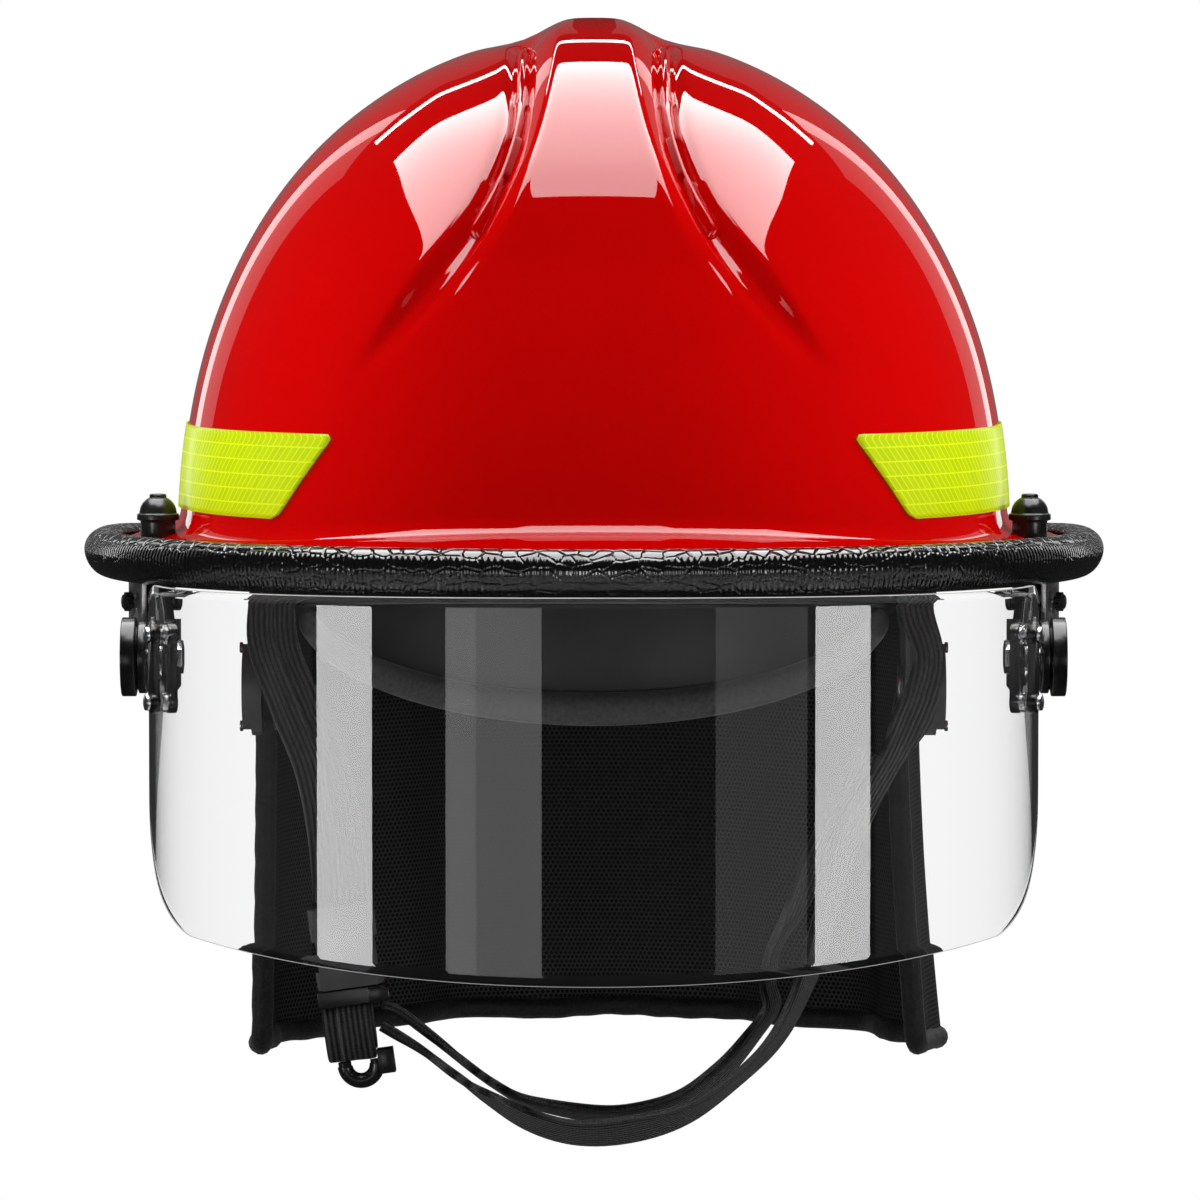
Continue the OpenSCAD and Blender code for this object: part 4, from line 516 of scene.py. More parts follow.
pad_cloth = material("brushed_pad_cloth", Roughness=0.85, Sheen_Weight=0.35, Sheen_Roughness=0.45)
nap = noise(pad_cloth, 700.0, 4.0)
tint(pad_cloth, nap, 0.3, (0.018, 0.018, 0.019), 0.7, (0.042, 0.042, 0.044))
bump(pad_cloth, nap, 0.35, 0.0004)
PAD_VOXEL, PAD_DRAWN_IN, PAD_CAP, PAD_PRESSURE, PAD_FRAMES = 0.0032, 0.8, 1.2, 4.0, 20


def vertex_values(mesh, what="co"):
    values = np.empty(len(mesh.vertices) * 3)
    mesh.vertices.foreach_get(what, values)
    return values.reshape(-1, 3)


def inflated_pad(copy, node, drawn_in, cap, body, cloth_material):
    """Draws a pad's surface in a little and blows it up as cloth. No point moves past the cap."""
    mesh = copy.data
    before = vertex_values(mesh)
    mesh.vertices.foreach_set("co", (before - vertex_values(mesh, "normal") * drawn_in * MM).ravel())
    cloth = copy.modifiers.new("Cloth", "CLOTH")
    cloth.settings.use_pressure = True
    cloth.settings.uniform_pressure_force = PAD_PRESSURE
    cloth.settings.effector_weights.gravity = 0
    cloth.collision_settings.use_collision = False
    for step in range(1, PAD_FRAMES + 1):
        scene.frame_set(step)
    shape = copy.evaluated_get(bpy.context.evaluated_depsgraph_get())
    move = vertex_values(shape.data) - before
    copy.modifiers.remove(cloth)
    scene.frame_set(1)
    size = np.linalg.norm(move, axis=1, keepdims=True)
    move = move * np.minimum(1, cap * MM / np.maximum(size, 1e-9))
    mesh.vertices.foreach_set("co", (before + move).ravel())
    mesh.update()
    finish_with(copy, "SUBSURF", levels=1, render_levels=1)
    bpy.ops.object.shade_smooth()
    settle(copy, cloth_material, body, "pad_fabric", node)


for node, name in (("crown_pad", "crown_cushion"), ("brow_pad", "brow_cushion")):
    pad = merged_copy(node, name, 0.00001)
    finish_with(pad, "REMESH", mode="VOXEL", voxel_size=PAD_VOXEL)
    finish_with(pad, "SMOOTH", factor=0.5, iterations=6)
    inflated_pad(pad, node, PAD_DRAWN_IN, PAD_CAP, "helmet", pad_cloth)

# Nape cradle: a moulded band that hangs from the side arms and carries a soft rim along its lower
# edge. The ratchet behind it draws two rack straps, so the wearer can tighten the fit.
nape_plastic = moulded("nape_band_plastic", (0.05, 0.05, 0.052), 0.5, 0.08)
rounded_copy("nape_cradle", "nape_band_moulding", 0.6, "cradle", "harness_black", nape_plastic)
RIM_R, RIM_Y, RIM_LOW, RIM_SLOPE, RIM_REAR, RIM_THICK, RIM_TALL = 83.3, 17.0, -55.0, 0.43, 106.0, 4.5, 5.5
t = np.radians(np.linspace(8, 172, 141))[:, None]
a = np.radians(np.linspace(0, 360, 21))[None, :]
fat = 0.6 + 0.4 * np.sin(t) ** 0.4
fat = fat * np.minimum(1, np.sqrt(np.maximum(0, 1 - (np.abs(np.degrees(t) - 90) / 82.5) ** 40)) + 0.3)
rim_r = RIM_R + RIM_THICK * fat * np.cos(a)
rim_z = RIM_LOW + RIM_SLOPE * (RIM_REAR - RIM_Y - RIM_R * np.sin(t)) + RIM_TALL * fat * np.sin(a)
ring = np.stack([rim_r * np.cos(t), RIM_Y + rim_r * np.sin(t), rim_z], -1)
rim_uv = np.stack([RIM_R * t + 0 * a, 5.0 * a + 0 * t], -1) * MM
rim_cushion = surface("nape_rim_cushion", ring, rim_uv, caps=True)
rim_cloth = material("soft_rim_cloth", Roughness=0.7, Sheen_Weight=0.3, Sheen_Roughness=0.45)
nap = noise(rim_cloth, 800.0, 4.0)
tint(rim_cloth, nap, 0.3, (0.045, 0.045, 0.046), 0.7, (0.08, 0.08, 0.082))
bump(rim_cloth, nap, 0.25, 0.0003)
inflated_pad(rim_cushion, "nape_pad", 0.4, 0.9, "cradle", rim_cloth)
rounded_copy("ratchet_housing", "ratchet_housing_moulding", 0.8, "cradle", "harness_black", harness_plastic)
rounded_copy("ratchet_knob", "ratchet_dial_moulding", 0.6, "ratchet_dial", "harness_black", harness_plastic)
for node in ("rack_left", "rack_right"):
    rounded_copy(node, node + "_strap", 0.3, node + "_unit", "harness_black", harness_plastic)

# Neck and ear cover: a hanging curtain of black cloth with a honeycomb mesh lining. A hook tape
# holds its top under the ring, and a bound roll runs down both front edges and along the hem.
COVER_W, COVER_L, COVER_BACK, COVER_TUCK = 94.4, 125.5, 12.0, 15.0
COVER_TOP, COVER_HEM, COVER_RISE = 9.2, -143.9, 6.0
COVER_OPEN, COVER_SIDE, COVER_T = 10.0, 182.0, 2.0
COVER_WAVES = ((3.4, 1.3, 8, 0.2, 0.15), (2.2, 0.8, 5, -0.35, 0.4))
CURL_RIGHT, CURL_LEFT, CURL_RUN = -9.0, -1.5, 0.35


def cover_point(u, v):
    """A point of the curtain. u runs from its right front edge round the rear, v runs down."""
    t = np.radians(-COVER_OPEN + (180 + 2 * COVER_OPEN) * u)
    right, left = rise(u, 0.42, -0.42), rise(u, 0.58, 0.42)
    wide = COVER_W + v * (1.6 * left + 6.5 * right * v)
    deep = np.where(np.sin(t) > 0, COVER_L - COVER_TUCK * v, COVER_SIDE)
    calm = np.sqrt(np.clip(np.sin(np.pi * u), 0, 1))
    wave = sum(high * v**grow * calm * np.sin(2 * np.pi * (count * u + lean * v + place))
               for high, grow, count, lean, place in COVER_WAVES)
    curl = (CURL_RIGHT * rise(u, 0.11, -0.11) + CURL_LEFT * rise(u, 0.93, 0.07)) * rise(v, 0.12, CURL_RUN)
    n = unit(np.stack([np.cos(t) / wide, np.sin(t) / deep], -1))
    front = rise(deep * np.sin(t), 60, -120)
    z = COVER_TOP + (COVER_HEM + COVER_RISE * front - COVER_TOP) * v
    return np.stack([wide * np.cos(t) + n[..., 0] * (wave + curl),
                     COVER_BACK + deep * np.sin(t) + n[..., 1] * wave, z], -1)


u, v = np.meshgrid(np.linspace(0.004, 0.996, 241), np.linspace(0, 1, 81))
sheet = cover_point(u, v)
across, down = running(sheet, 1), running(sheet)
curtain = surface("neck_curtain", sheet, np.stack([across, down], -1) * MM)
finish_with(curtain, "SOLIDIFY", thickness=COVER_T * MM, offset=0)
PITCH = 0.0015


def honeycomb(made, vector):
    """The distance from the nearest cell centre of a honeycomb, in cells."""
    tall = PITCH * math.sqrt(3)
    centres = []
    for shift in ((0, 0, 0), (PITCH / 2, tall / 2, 0)):
        spot = vector
        for operation, value in (("ADD", shift), ("DIVIDE", (PITCH, tall, 1)), ("FRACTION", (0, 0, 0)),
                                 ("SUBTRACT", (0.5, 0.5, 0)), ("MULTIPLY", (1, math.sqrt(3), 0))):
            spot = add_node(made, "VectorMath", {"operation": operation}, i0=spot, i1=value)
        centres.append(add_node(made, "VectorMath", {"operation": "LENGTH"}, i0=spot).outputs["Value"])
    return math_node(made, "MINIMUM", *centres)


mesh_cloth = material("honeycomb_lining_cloth", Roughness=0.7, Specular_IOR_Level=0.1)
cell = honeycomb(mesh_cloth, add_node(mesh_cloth, "UVMap"))
tint(mesh_cloth, cell, 0.30, (0.0006, 0.0006, 0.0006), 0.46, (0.026, 0.026, 0.026))
bump(mesh_cloth, cell, 0.6, 0.0005)
settle(curtain, mesh_cloth, "helmet", "cover_fabric", "neck_cover")
ROLL_R, ROLL_LUMP, LUMP_RUN = 3.1, 0.05, 11.0


def bound_roll(name, path):
    """A closed roll along a path, with softly uneven thickness."""
    run = running(path)
    way = unit(np.gradient(path, axis=0))
    side = unit(np.cross(way, [0.31, 0.22, 0.92]))
    for i in range(1, len(side)):
        side[i] = unit(side[i - 1] - way[i] * np.dot(side[i - 1], way[i]))
    other = np.cross(way, side)
    a = np.linspace(0, 2 * np.pi, 15)
    grow = ROLL_R * (1 + ROLL_LUMP * np.sin(run / LUMP_RUN * 2 * np.pi) * np.sin(run / (LUMP_RUN * 3.7)))
    turn = np.cos(a)[:, None] * side[:, None] + np.sin(a)[:, None] * other[:, None]
    uv = np.stack(np.meshgrid(a * ROLL_R, run), -1)[..., ::-1] * MM
    return surface(name, path[:, None] + grow[:, None, None] * turn, uv, caps=True)


binding_cloth = material("binding_cloth", Roughness=0.55, Specular_IOR_Level=0.12, Sheen_Weight=0.08)
fine = noise(binding_cloth, 1100.0, 3.0)
tint(binding_cloth, fine, 0.3, (0.004, 0.004, 0.004), 0.7, (0.012, 0.012, 0.0125))
bump(binding_cloth, math_node(binding_cloth, "ADD", fine, noise(binding_cloth, 90.0, 2.0)), 0.4, 0.0008)

edge = np.linspace(0.03, 1, 40)
right_edge = cover_point(np.full(40, 0.002), edge)
left_edge = cover_point(np.full(40, 0.998), edge)
hem = cover_point(np.linspace(0.002, 0.998, 170), np.ones(170))
path = np.concatenate([right_edge, hem[1:-1], left_edge[::-1]])
path = np.array([path[max(0, i - 1):i + 2].mean(0) for i in range(len(path))])
binding = bound_roll("curtain_binding", path)
settle(binding, binding_cloth, "helmet", "cover_fabric", "cover_binding")
rounded_copy("cover_tape", "curtain_hook_tape", 0.4, "helmet", "cover_fabric", binding_cloth)

# Visor: one curved sheet of clear polycarbonate, cut to a deep shield with a round ear at each
# pivot. It is made as a thin sheet on its plan curve and then given its thickness.
VISOR_W, HINGE_FRONT, VISOR_FRONT, VISOR_ROUND, VISOR_T = 120.0, 92.0, 178.0, 2.5, 1.5
VISOR_TOP, EAR_TOP, VISOR_LOW, EAR, HINGE_Z = -3.6, -7.7, -104.7, 16.7, -24.4
SAG_R, CORNER, CORNER_FRONT = 600.0, 60.0, 163.0
EAR_RUN, TOP_RUN, RIM_BEVEL = 12.0, 26.0, 0.5


def below_arc(z, radius, off):
    """The lower half of a circle at a distance off its centre line."""
    return z - np.sqrt(np.maximum(0, radius**2 - off**2))


def mirrored(values, sign=1):
    return np.concatenate([sign * values, values[-2::-1]])


t = np.radians(np.linspace(0, 90, 91))
deep, corner_f = VISOR_FRONT - HINGE_FRONT, CORNER_FRONT - HINGE_FRONT
front_x = VISOR_W * np.cos(t) ** (2 / VISOR_ROUND)
front_f = HINGE_FRONT + deep * np.sin(t) ** (2 / VISOR_ROUND)
ear_f = HINGE_FRONT - EAR * np.cos(np.radians(np.linspace(0, 90, 13)))[:-1]
half_x = np.concatenate([np.full(12, VISOR_W), front_x])
half_f = np.concatenate([ear_f, front_f])
run = running(np.stack([half_x, half_f], -1))
even_run = np.linspace(0, 1, 121) ** 0.9 * run[-1]
vx, vf = np.interp(even_run, run, half_x), np.interp(even_run, run, half_f)
past = vf - HINGE_FRONT
upper = np.where(past < 0, HINGE_Z + np.sqrt(np.maximum(0, EAR**2 - past**2)),
                 np.interp(past, [EAR_RUN, TOP_RUN], [EAR_TOP, VISOR_TOP]))
corner_x = VISOR_W * (1 - (corner_f / deep) ** VISOR_ROUND) ** (1 / VISOR_ROUND)
corner_z = VISOR_LOW + SAG_R - math.sqrt(SAG_R**2 - corner_x**2) + CORNER
away = math.atan2(corner_z - HINGE_Z, corner_f)
away = away - math.acos((EAR - CORNER) / math.hypot(corner_f, corner_z - HINGE_Z))
ear_end = (HINGE_FRONT + EAR * math.cos(away), HINGE_Z + EAR * math.sin(away))
corner_start = (CORNER_FRONT + CORNER * math.cos(away), corner_z + CORNER * math.sin(away))
slope = (corner_start[1] - ear_end[1]) / (corner_start[0] - ear_end[0])
sag = below_arc(VISOR_LOW + SAG_R, SAG_R, vx)
lower = np.where(
    vf < ear_end[0], below_arc(HINGE_Z, EAR, past),
    np.where(vf < corner_start[0], ear_end[1] + slope * (vf - ear_end[0]),
             np.where(vf < CORNER_FRONT, below_arc(corner_z, CORNER, np.minimum(CORNER, CORNER_FRONT - vf)), sag)))
lower = np.maximum(lower, sag)
full_x, full_f = mirrored(vx, -1), mirrored(vf)
v = np.linspace(0, 1, 33)[:, None]
points = np.stack([full_x + 0 * v, -full_f + 0 * v, mirrored(upper) * (1 - v) + mirrored(lower) * v], -1)
run = running(np.stack([full_x, full_f], -1))
visor = surface("visor_sheet", points, np.stack([run + 0 * v, points[..., 2]], -1) * MM)
if visor.data.polygons[len(visor.data.polygons) // 2].normal.y > 0:
    visor.data.flip_normals()
polycarbonate = material("clear_polycarbonate", Transmission_Weight=1.0, Roughness=0.0,
                         Base_Color=(0.985, 0.99, 0.99, 1))
bump(polycarbonate, noise(polycarbonate, 6.0, 1.0), 0.02, 0.0005)
# The cut edge is dark grey with a white emission: a painted glow that stands in for light carried out through the
# sheet's edge.
painted_edge_glow = material("visor_edge_painted_glow", Roughness=0.35, Base_Color=(0.1, 0.1, 0.1, 1),
                    Emission_Color=(1, 1, 1, 1), Emission_Strength=0.32)
bump(painted_edge_glow, noise(painted_edge_glow, 700.0, 2.0), 0.1, 0.0001)
for slot_material in (polycarbonate, painted_edge_glow):
    visor.data.materials.append(slot_material)
finish_with(visor, "SOLIDIFY", thickness=VISOR_T * MM, material_offset_rim=1)
finish_with(visor, "BEVEL", width=RIM_BEVEL * MM, segments=2, material=1, limit_method="ANGLE",
            angle_limit=math.radians(60))
visor.visible_shadow = False
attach(visor, "visor_unit")
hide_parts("visor")

# Visor hardware: black oxide brackets under the brim, cap nuts on it, turned bolts, lobed screws
# and clamps with clear washers. The cap nuts are turned and the other parts get rounded edges.
black_oxide = material("black_oxide", Metallic=0.6, Roughness=0.3)
worn = noise(black_oxide, 120.0, 4.0)
tint(black_oxide, worn, 0.35, (0.012, 0.012, 0.013), 0.7, (0.03, 0.03, 0.032))
drive(black_oxide, "Roughness", math_node(black_oxide, "MULTIPLY_ADD", worn, 0.2, 0.18))
bump(black_oxide, worn, 0.08, 0.0002)
for node, name in (("bracket_left", "bracket_left_plate"), ("bracket_right", "bracket_right_plate"),
                   ("bracket_screws", "lobed_screws"), ("bracket_nuts", "sleeves_and_nuts"),
                   ("brim_bolts", "brim_bolt_pair")):
    rounded_copy(node, name, 0.35, "helmet", "metal_black", black_oxide)


def spline(values, steps):
    """A smooth curve through the values, with that many steps between two of them."""
    values = np.array(values, float)
    out = []
    for i in range(len(values) - 1):
        a, b = values[max(0, i - 1)], values[i]
        c, d = values[i + 1], values[min(len(values) - 1, i + 2)]
        for k in range(steps):
            s = k / steps
            out.append(0.5 * (2 * b + (c - a) * s + (2 * a - 5 * b + 4 * c - d) * s**2
                              + (3 * b - a - 3 * c + d) * s**3))
    out.append(values[-1])
    return np.array(out)


def join(pieces, name):
    select_none()
    for piece in pieces:
        piece.select_set(True)
    bpy.context.view_layer.objects.active = pieces[0]
    bpy.ops.object.join()
    pieces[0].name = pieces[0].data.name = name
    return pieces[0]


CAP_NUT_X, CAP_NUT_Y = 121.42, -33.08


def cap_nut(name, x, y):
    """A turned cap nut: a short body, a rolled flange and a full dome with a flat button."""
    profile = spline([(4.9, 4.2), (4.9, 9.2), (5.2, 9.8), (5.85, 10.1), (5.9, 10.9), (5.8, 11.6), (5.3, 11.9),
                      (5.15, 12.6), (4.9, 13.6), (4.3, 14.7), (3.3, 15.7), (2.6, 16.1), (2.4, 16.3), (2.35, 16.9),
                      (2.0, 17.2), (0.8, 17.3), (0.05, 17.3)], 4)
    a = np.radians(np.linspace(0, 360, 49))[None, :]
    r, z = profile[:, :1], profile[:, 1:]
    ring = np.stack([x + r * np.cos(a), y + r * np.sin(a), z + 0 * a], -1)
    return surface(name, ring, np.stack([5 * a + 0 * r, z + 0 * a], -1) * MM, caps=True)


nuts = join([cap_nut("cap_nut_right", CAP_NUT_X, CAP_NUT_Y), cap_nut("cap_nut_left", -CAP_NUT_X, CAP_NUT_Y)],
            "cap_nut_pair")
settle(nuts, black_oxide, "helmet", "metal_black", "cap_nuts")
satin_plate = material("satin_plate", Metallic=1.0, Roughness=0.4)
brushed = noise(satin_plate, 90.0, 3.0, (1.0, 1.0, 30.0))
tint(satin_plate, brushed, 0.3, (0.5, 0.5, 0.51), 0.7, (0.66, 0.66, 0.67))
bump(satin_plate, brushed, 0.1, 0.0001)
for side in ("left", "right"):
    rounded_copy("bracket_tab_" + side, "light_plate_" + side, 0.2, "helmet", "plate_grey", satin_plate)
rounded_copy("visor_bolts", "visor_pivot_bolts", 0.3, "helmet", "steel", bright_steel)

knob_plastic = moulded("knob_plastic", (0.005, 0.005, 0.005), 0.24, 0.05)
for side in ("left", "right"):
    rounded_copy("knob_" + side, "friction_knob_" + side, 0.5, "knob_" + side + "_unit", "clamp_black", knob_plastic, 3)
for place in ("outer", "inner"):
    rounded_copy(place + "_clamps", place + "_clamp_plates", 0.5, "visor_unit", "clamp_black", knob_plastic)
rounded_copy("clamp_screws", "clamp_screw_set", 0.25, "visor_unit", "steel", bright_steel)
for node, name, body in (("clamp_washers", "clear_washers", "visor_unit"),
                         ("visor_bushes", "clear_bushes", "helmet")):
    rounded_copy(node, name, 0.15, body, "visor_clear", polycarbonate).visible_shadow = False

# Chin strap: ribbed nylon webbing from an anchor on each side, doubled below the right ear and
# under the chin. Each strap is a flat section swept along its path and turned round its anchor.
STRAP_Y, LOOP_LOW, ANCHOR_X, ANCHOR_R, ANCHOR_LOOP = -66.0, -5.6, 88.0, 3.2, 11.5
STRAP_T, STRAP_RIBS, STRAP_PICKS = 2.0, 4300.0, 7000.0
strap_nylon = material("ribbed_nylon", Roughness=0.5, Specular_IOR_Level=0.25, Sheen_Weight=0.1, Sheen_Roughness=0.4)
split = add_node(strap_nylon, "SeparateXYZ", Vector=add_node(strap_nylon, "UVMap"))
rib, pick = (math_node(strap_nylon, "SINE", math_node(strap_nylon, "MULTIPLY", split.outputs[way], rate))
             for way, rate in ((1, STRAP_RIBS), (0, STRAP_PICKS)))
woven = math_node(strap_nylon, "MULTIPLY_ADD", pick, 0.08, rib)
tint(strap_nylon, math_node(strap_nylon, "MULTIPLY_ADD", woven, 0.4, 0.5),
     0.25, (0.001, 0.001, 0.001), 0.85, (0.032, 0.032, 0.0325))
bump(strap_nylon, woven, 0.9, 0.0006)


def strap(name, stations, thick, steps=8, wobble=0.0):
    """A flat strap. Each station is a place, the way of its width and the width, in millimetres."""
    path, across_way, wide = (spline(values, steps) for values in zip(*stations))
    way = unit(np.gradient(path, axis=0))
    across_way = unit(across_way)
    across_way = unit(across_way - way * np.sum(across_way * way, axis=1, keepdims=True))
    face = np.cross(way, across_way)
    run = running(path)
    edge = [(-1, 0), (-0.97, 0.36), (-0.9, 0.5), (-0.6, 0.56), (-0.2, 0.53)]
    edge = edge + [(-a, b) for a, b in edge[::-1]]
    loop = edge + [(a, -b) for a, b in edge[-2::-1]]
    ring = []
    for a, b in loop:
        wave = wobble * np.sin(run / 7.0 + 2 * a) * np.sin(run / 23.0 + a)
        ring.append(path + across_way * (a * wide / 2)[:, None] + face * (b * thick + wave)[:, None])
    ring = np.array(ring).transpose(1, 0, 2)
    spread = np.array(loop)[None, :, 0]
    uv = np.stack([run[:, None] + 0 * spread, spread * wide[:, None] / 2], -1) * MM
    return surface(name, ring, uv, caps=True)


def anchor_loop(name, x):
    """The end of a strap, turned round its anchor pin and sewn to itself."""
    return strap(name, [[(x, STRAP_Y - ANCHOR_R * math.sin(s), -2 + ANCHOR_R * math.cos(s)), (1, 0, 0), ANCHOR_LOOP]
                        for s in np.radians(np.linspace(-70, 250, 25))], 1.7, 2)


left_front = strap("left_front", [
    [(-91, STRAP_Y - 1.6, LOOP_LOW), (1, 0, 0), 6], [(-91.4, STRAP_Y - 1.5, -22), (1, 0.3, 0), 7.5],
    [(-85, STRAP_Y - 1.5, -40), (1, 0.5, 0.2), 8], [(-78.6, STRAP_Y - 1.5, -56), (1, 0.5, 0.2), 8],
    [(-75.2, STRAP_Y - 1, -72), (1, 0.35, 0.1), 8], [(-73.6, STRAP_Y - 0.6, -86), (1, 0.1, 0), 7.8],
    [(-73.5, STRAP_Y, -93.5), (1, 0, 0), 7.6]], STRAP_T, 8, 0.25)
left_rear = strap("left_rear", [
    [(-84.9, STRAP_Y + 1.6, LOOP_LOW), (1, 0, 0), 5.6], [(-84.6, STRAP_Y + 1.5, -22), (1, -0.2, 0), 7],
    [(-78.6, STRAP_Y + 1.4, -38), (1, -0.3, 0.2), 7.6], [(-71.8, STRAP_Y + 1.4, -54), (1, -0.3, 0.2), 8],
    [(-68, STRAP_Y + 1, -70), (1, -0.2, 0.1), 8], [(-66.1, STRAP_Y + 0.6, -85), (1, 0, 0), 7.6],
    [(-65.6, STRAP_Y, -93.5), (1, 0, 0), 7.2]], STRAP_T, 8, 0.25)
left_strap = join([left_front, left_rear, anchor_loop("left_loop", -ANCHOR_X)], "left_upper_strap")
paint(left_strap, strap_nylon)
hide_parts("webbing_left")
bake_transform(left_strap)
FOCAL_PIXELS, CAMERA_BACK, VIEW_X, VIEW_Y, VIEW_Z = 7057, 2000, 594, 197, 100


def from_view(px, py, depth):
    """The point that the camera sees at a pixel, at a depth in front of the origin."""
    k = FOCAL_PIXELS / (CAMERA_BACK - depth)
    return (px - VIEW_X) / k, -depth, VIEW_Z - (py - VIEW_Y) / k


def viewed_strap(name, stations, seen):
    """A strap that goes on through pixels, each with its width, lift and way."""
    stations = stations + [[from_view(px, py, -(STRAP_Y + lift)), way, wide] for px, py, wide, lift, way in seen]
    return strap(name, stations, STRAP_T, 7, 0.3)


lower_strap = viewed_strap("outer", [
    [(ANCHOR_X, STRAP_Y, LOOP_LOW), (1, 0, 0), 11.4], [(88.6, STRAP_Y, -14), (1, 0.2, 0), 10]], (
    (930, 655, 9, -0.2, (1, 0.3, 0)), (923, 692, 11, -0.6, (1, 0.4, 0.2)), (911, 722, 12.5, -1, (1, 0.5, 0.3)),
    (894, 756, 9, -1.6, (1, 0.7, 0.4)), (877, 785, 9, -2.4, (1, 0.7, 0.3)), (860, 815, 11.5, -3, (1, 0.9, 0.3)),
    (847, 845, 13, -3.4, (1, 1.1, 0.3)), (836, 882, 14, -4, (0.8, 1.3, 0.2)), (823, 925, 15, -4.6, (0.65, 1.5, 0.2)),
    (809, 977, 16, -5.4, (0.6, 1.5, 0.2)), (781, 1034, 17, -6.4, (0.6, 1.5, 0.1)),
    (745, 1076, 17, -7.2, (0.45, 1.4, -0.1)), (694, 1113, 17, -8, (0.2, 1.2, -0.4)),
    (636, 1132, 17, -8, (0, 1.1, -0.6)), (580, 1136, 17, -8, (0, 1.1, -0.6)),
    (528, 1123, 16, -7.6, (-0.1, 1.1, -0.5)), (486, 1100, 13, -6.4, (-0.2, 1, -0.2)),
    (455, 1078, 7, -5, (-0.2, 1, 0.1)), (425, 1055, 4, -3.4, (-0.2, 1, 0.2)), (396, 1037, 4, -2, (-0.1, 1, 0.2)),
    (381, 1028, 4, -1.7, (-0.1, 1, 0.1))))
outer_strap = join([lower_strap, anchor_loop("right_loop", ANCHOR_X)], "outer_chin_strap")
settle(outer_strap, strap_nylon, "chin_strap", "webbing", "webbing_outer")

inner_strap = viewed_strap("inner_chin_strap", [], (
    (868, 752, 9, 3, (1, 0.4, 0.4)), (852, 785, 9.5, 3.6, (1, 0.5, 0.4)), (832, 825, 10, 4.4, (1, 0.7, 0.4)),
    (816, 862, 10, 5.2, (1, 0.7, 0.3)), (804, 893, 9.5, 6, (1, 0.8, 0.3)), (790, 922, 8.5, 6.8, (0.8, 1, 0.3)),
    (773, 952, 9, 7.6, (0.5, 1.1, 0.2)), (768, 985, 10, 8, (0.45, 1.2, 0.1)), (772, 1010, 11, 8.4, (0.5, 1.2, 0)),
    (752, 1040, 13, 8.8, (0.5, 1.2, -0.1)), (722, 1073, 14, 9, (0.4, 1.2, -0.3)),
    (680, 1103, 14.5, 9, (0.1, 1.1, -0.4)), (628, 1115, 15, 9, (0, 1.1, -0.4)), (580, 1115, 15, 9, (0, 1.1, -0.4)),
    (528, 1105, 14, 9, (0, 1.1, -0.3)), (494, 1087, 12, 8.4, (-0.1, 1, -0.1)), (468, 1068, 6, 6.8, (-0.2, 1, 0.1)),
    (430, 1037, 4, 4.4, (-0.2, 1, 0.2)), (398, 1013, 4, 2.4, (-0.1, 1, 0.2)), (382, 1008, 4, 1.8, (-0.1, 1, 0.1))))
settle(inner_strap, strap_nylon, "chin_strap", "webbing", "webbing_inner")

# Buckle: a side-release buckle of black acetal. The body slides off the tongue's two prongs, and
# the strap's end is wound round the tongue's bar above an open hook.
LEAN = math.radians(-8)
buckle_plastic = moulded("buckle_plastic", (0.008, 0.008, 0.008), 0.22, 0.05)
buckle_grey = moulded("grey_buckle_plastic", (0.05, 0.05, 0.052), 0.2, 0.05)
rounded_copy("buckle_body", "buckle_body_moulding", 0.9, "buckle", "buckle_grey", buckle_grey, 3)
for node in ("prong_left", "prong_right"):
    rounded_copy(node, node + "_moulding", 0.3, node + "_unit", "buckle_grey", buckle_grey)
rounded_copy("buckle_tongue", "buckle_tongue_moulding", 0.6, "chin_strap", "buckle_black", buckle_plastic, 3)
rounded_copy("slide_hook", "open_hook_moulding", 0.3, "chin_strap", "buckle_black", buckle_plastic)


def wound_loop(name, x, z, half_depth, half_height, width):
    """One closed turn of strap round the tongue's bar, leaning with the buckle."""
    stations = []
    for turn in np.radians(np.linspace(20, 385, 25)):
        deep, high = -half_depth * math.cos(turn), half_height * math.sin(turn)
        place = (x + high * math.sin(LEAN), STRAP_Y + deep, z + high * math.cos(LEAN))
        stations.append([place, (math.cos(LEAN), 0, -math.sin(LEAN)), width])
    return strap(name, stations, 1.9, 3, 0.15)


roll = join([wound_loop(*turn) for turn in (
    ("inner_turn", -67.4, -129.8, 2.7, 6.6, 13.2), ("outer_turn", -65.3, -129.2, 4.2, 7.0, 9.4),
    ("last_turn", -61.9, -127.6, 3.3, 5.4, 3.4))], "strap_end_roll")
settle(roll, strap_nylon, "chin_strap", "webbing", "webbing_slide")

# Studio: a pale floor under a white surround, with soft boxes overhead and standing round the
# helmet. Most only show as reflections in the gloss. A key box and two side boxes light it.
select_none()
bpy.ops.mesh.primitive_plane_add(size=5, location=(0, 1.2, -0.55))
floor = bpy.context.object
floor.name = "studio_floor"
floor_paint = material("pale_floor", Roughness=1.0, Specular_IOR_Level=0.0, Base_Color=(0.9, 0.9, 0.9, 1))


def seen_white(made):
    """1 for camera rays, straight or through the clear visor, and 0 for all others."""
    ray = add_node(made, "LightPath").outputs
    through = math_node(made, "MULTIPLY", ray["Is Transmission Ray"],
                        math_node(made, "LESS_THAN", ray["Glossy Depth"], 0.5))
    return math_node(made, "MAXIMUM", ray["Is Camera Ray"], through)


def mixed(made, share, first, second):
    return add_node(made, "MixShader", Fac=share, i1=first, i2=second)


glow = add_node(floor_paint, "Emission", Color=(1, 1, 1, 1), Strength=1.0)
nodes = floor_paint.node_tree.nodes
blend = mixed(floor_paint, seen_white(floor_paint), nodes["Principled BSDF"], glow)
plug(floor_paint, blend, nodes["Material Output"].inputs[0])
paint(floor, floor_paint)
floor.visible_glossy = False


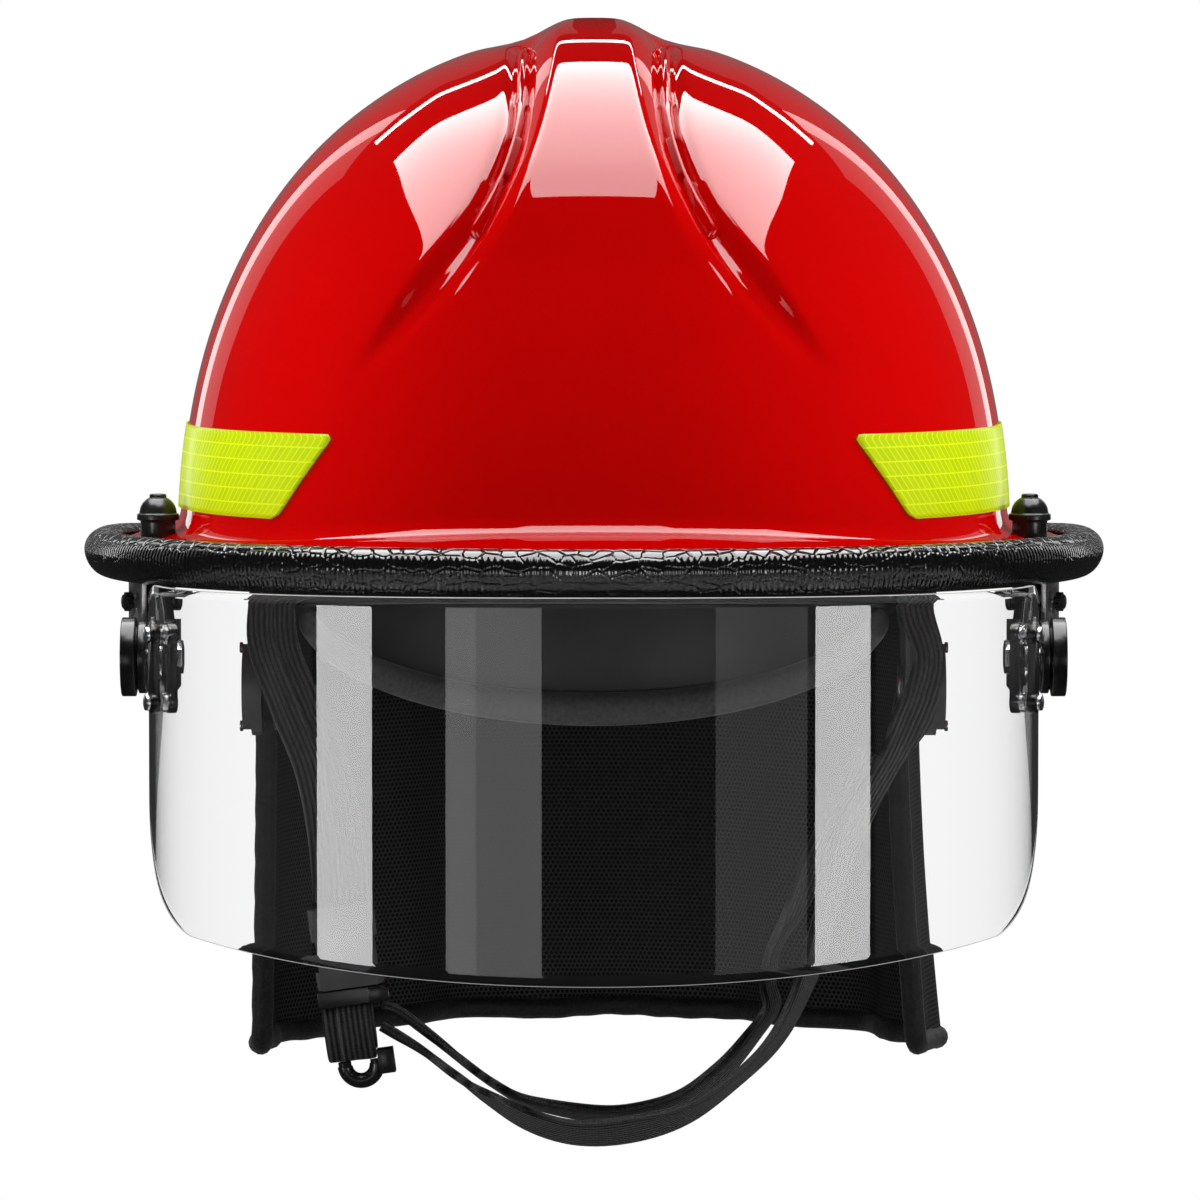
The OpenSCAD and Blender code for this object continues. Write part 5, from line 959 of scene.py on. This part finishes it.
def softbox(name, place, turn, size, radiance, glossy_only=True):
    """A rectangular softbox. A glossy one only shows as a reflection."""
    lamp = bpy.data.lights.new(name, "AREA")
    lamp.shape = "RECTANGLE"
    lamp.size, lamp.size_y = size
    lamp.energy = radiance * math.pi * size[0] * size[1]
    item = bpy.data.objects.new(name, lamp)
    item.location = place
    item.rotation_euler = tuple(math.radians(a) for a in turn)
    scene.collection.objects.link(item)
    item.visible_camera = False
    item.visible_transmission = False
    item.visible_diffuse = not glossy_only
    item.visible_glossy = glossy_only


def standing_box(name, first, last, radiance, low=-0.54, high=0.02, distance=2.0, glossy_only=True):
    """An upright box that fills the turns between first and last, seen from the helmet's front."""
    middle = math.radians((first + last) / 2)
    wide = 2 * distance * math.tan(math.radians(abs(last - first) / 2))
    softbox(name, (distance * math.sin(middle), -distance * math.cos(middle) - 0.15, (low + high) / 2),
            (90, 0, math.degrees(middle)), (wide, high - low), radiance, glossy_only)


softbox("overhead_box", (0, 0.14, 1.12), (0, 0, 0), (1.76, 1.28), 11.0)
softbox("overhead_box_front", (0, -0.675, 1.12), (0, 0, 0), (0.6, 0.35), 11.0)
softbox("overhead_strip", (0, 1.33, 1.12), (0, 0, 0), (1.8, 0.1), 10.0)
for side, word in ((-1, "left"), (1, "right")):
    standing_box("bright_box_" + word, side * 32.5, side * 47.5, 11.5)
    for name, first, last, radiance in (("rim_box_", 153, 158, 2.0), ("rim_fade_box_", 143, 153, 0.35),
                                        ("rim_outer_box_", 158, 179, 0.1)):
        standing_box(name + word, side * first, side * last, radiance, -0.1, 1.2)
    standing_box("side_key_box_" + word, side * 75, side * 115, 4.2, -0.1, 1.1, 1.6, False)
    standing_box("side_haze_box_" + word, side * 49, side * 80, 0.15)
standing_box("grey_box_left_edge", -17.4, -12.4, 2.5)
standing_box("grey_box_left", -12.4, -3.9, 1.8)
standing_box("grey_box_right", 13.0, 30.5, 0.65)
softbox("key_box", (0, -0.5, 1.8), (15, 0, 0), (1.8, 1.2), 1.6, False)

world = bpy.data.worlds.new("white_studio")
scene.world = world
world.use_nodes = True
world.node_tree.nodes.clear()
fill, gloss, white = (add_node(world, "Background", Color=(1, 1, 1, 1), Strength=strength)
                      for strength in (0.4, 0.03, 1.0))
lit = mixed(world, add_node(world, "LightPath").outputs["Is Glossy Ray"], fill, gloss)
surround = mixed(world, seen_white(world), lit, white)
add_node(world, "OutputWorld", Surface=surround)
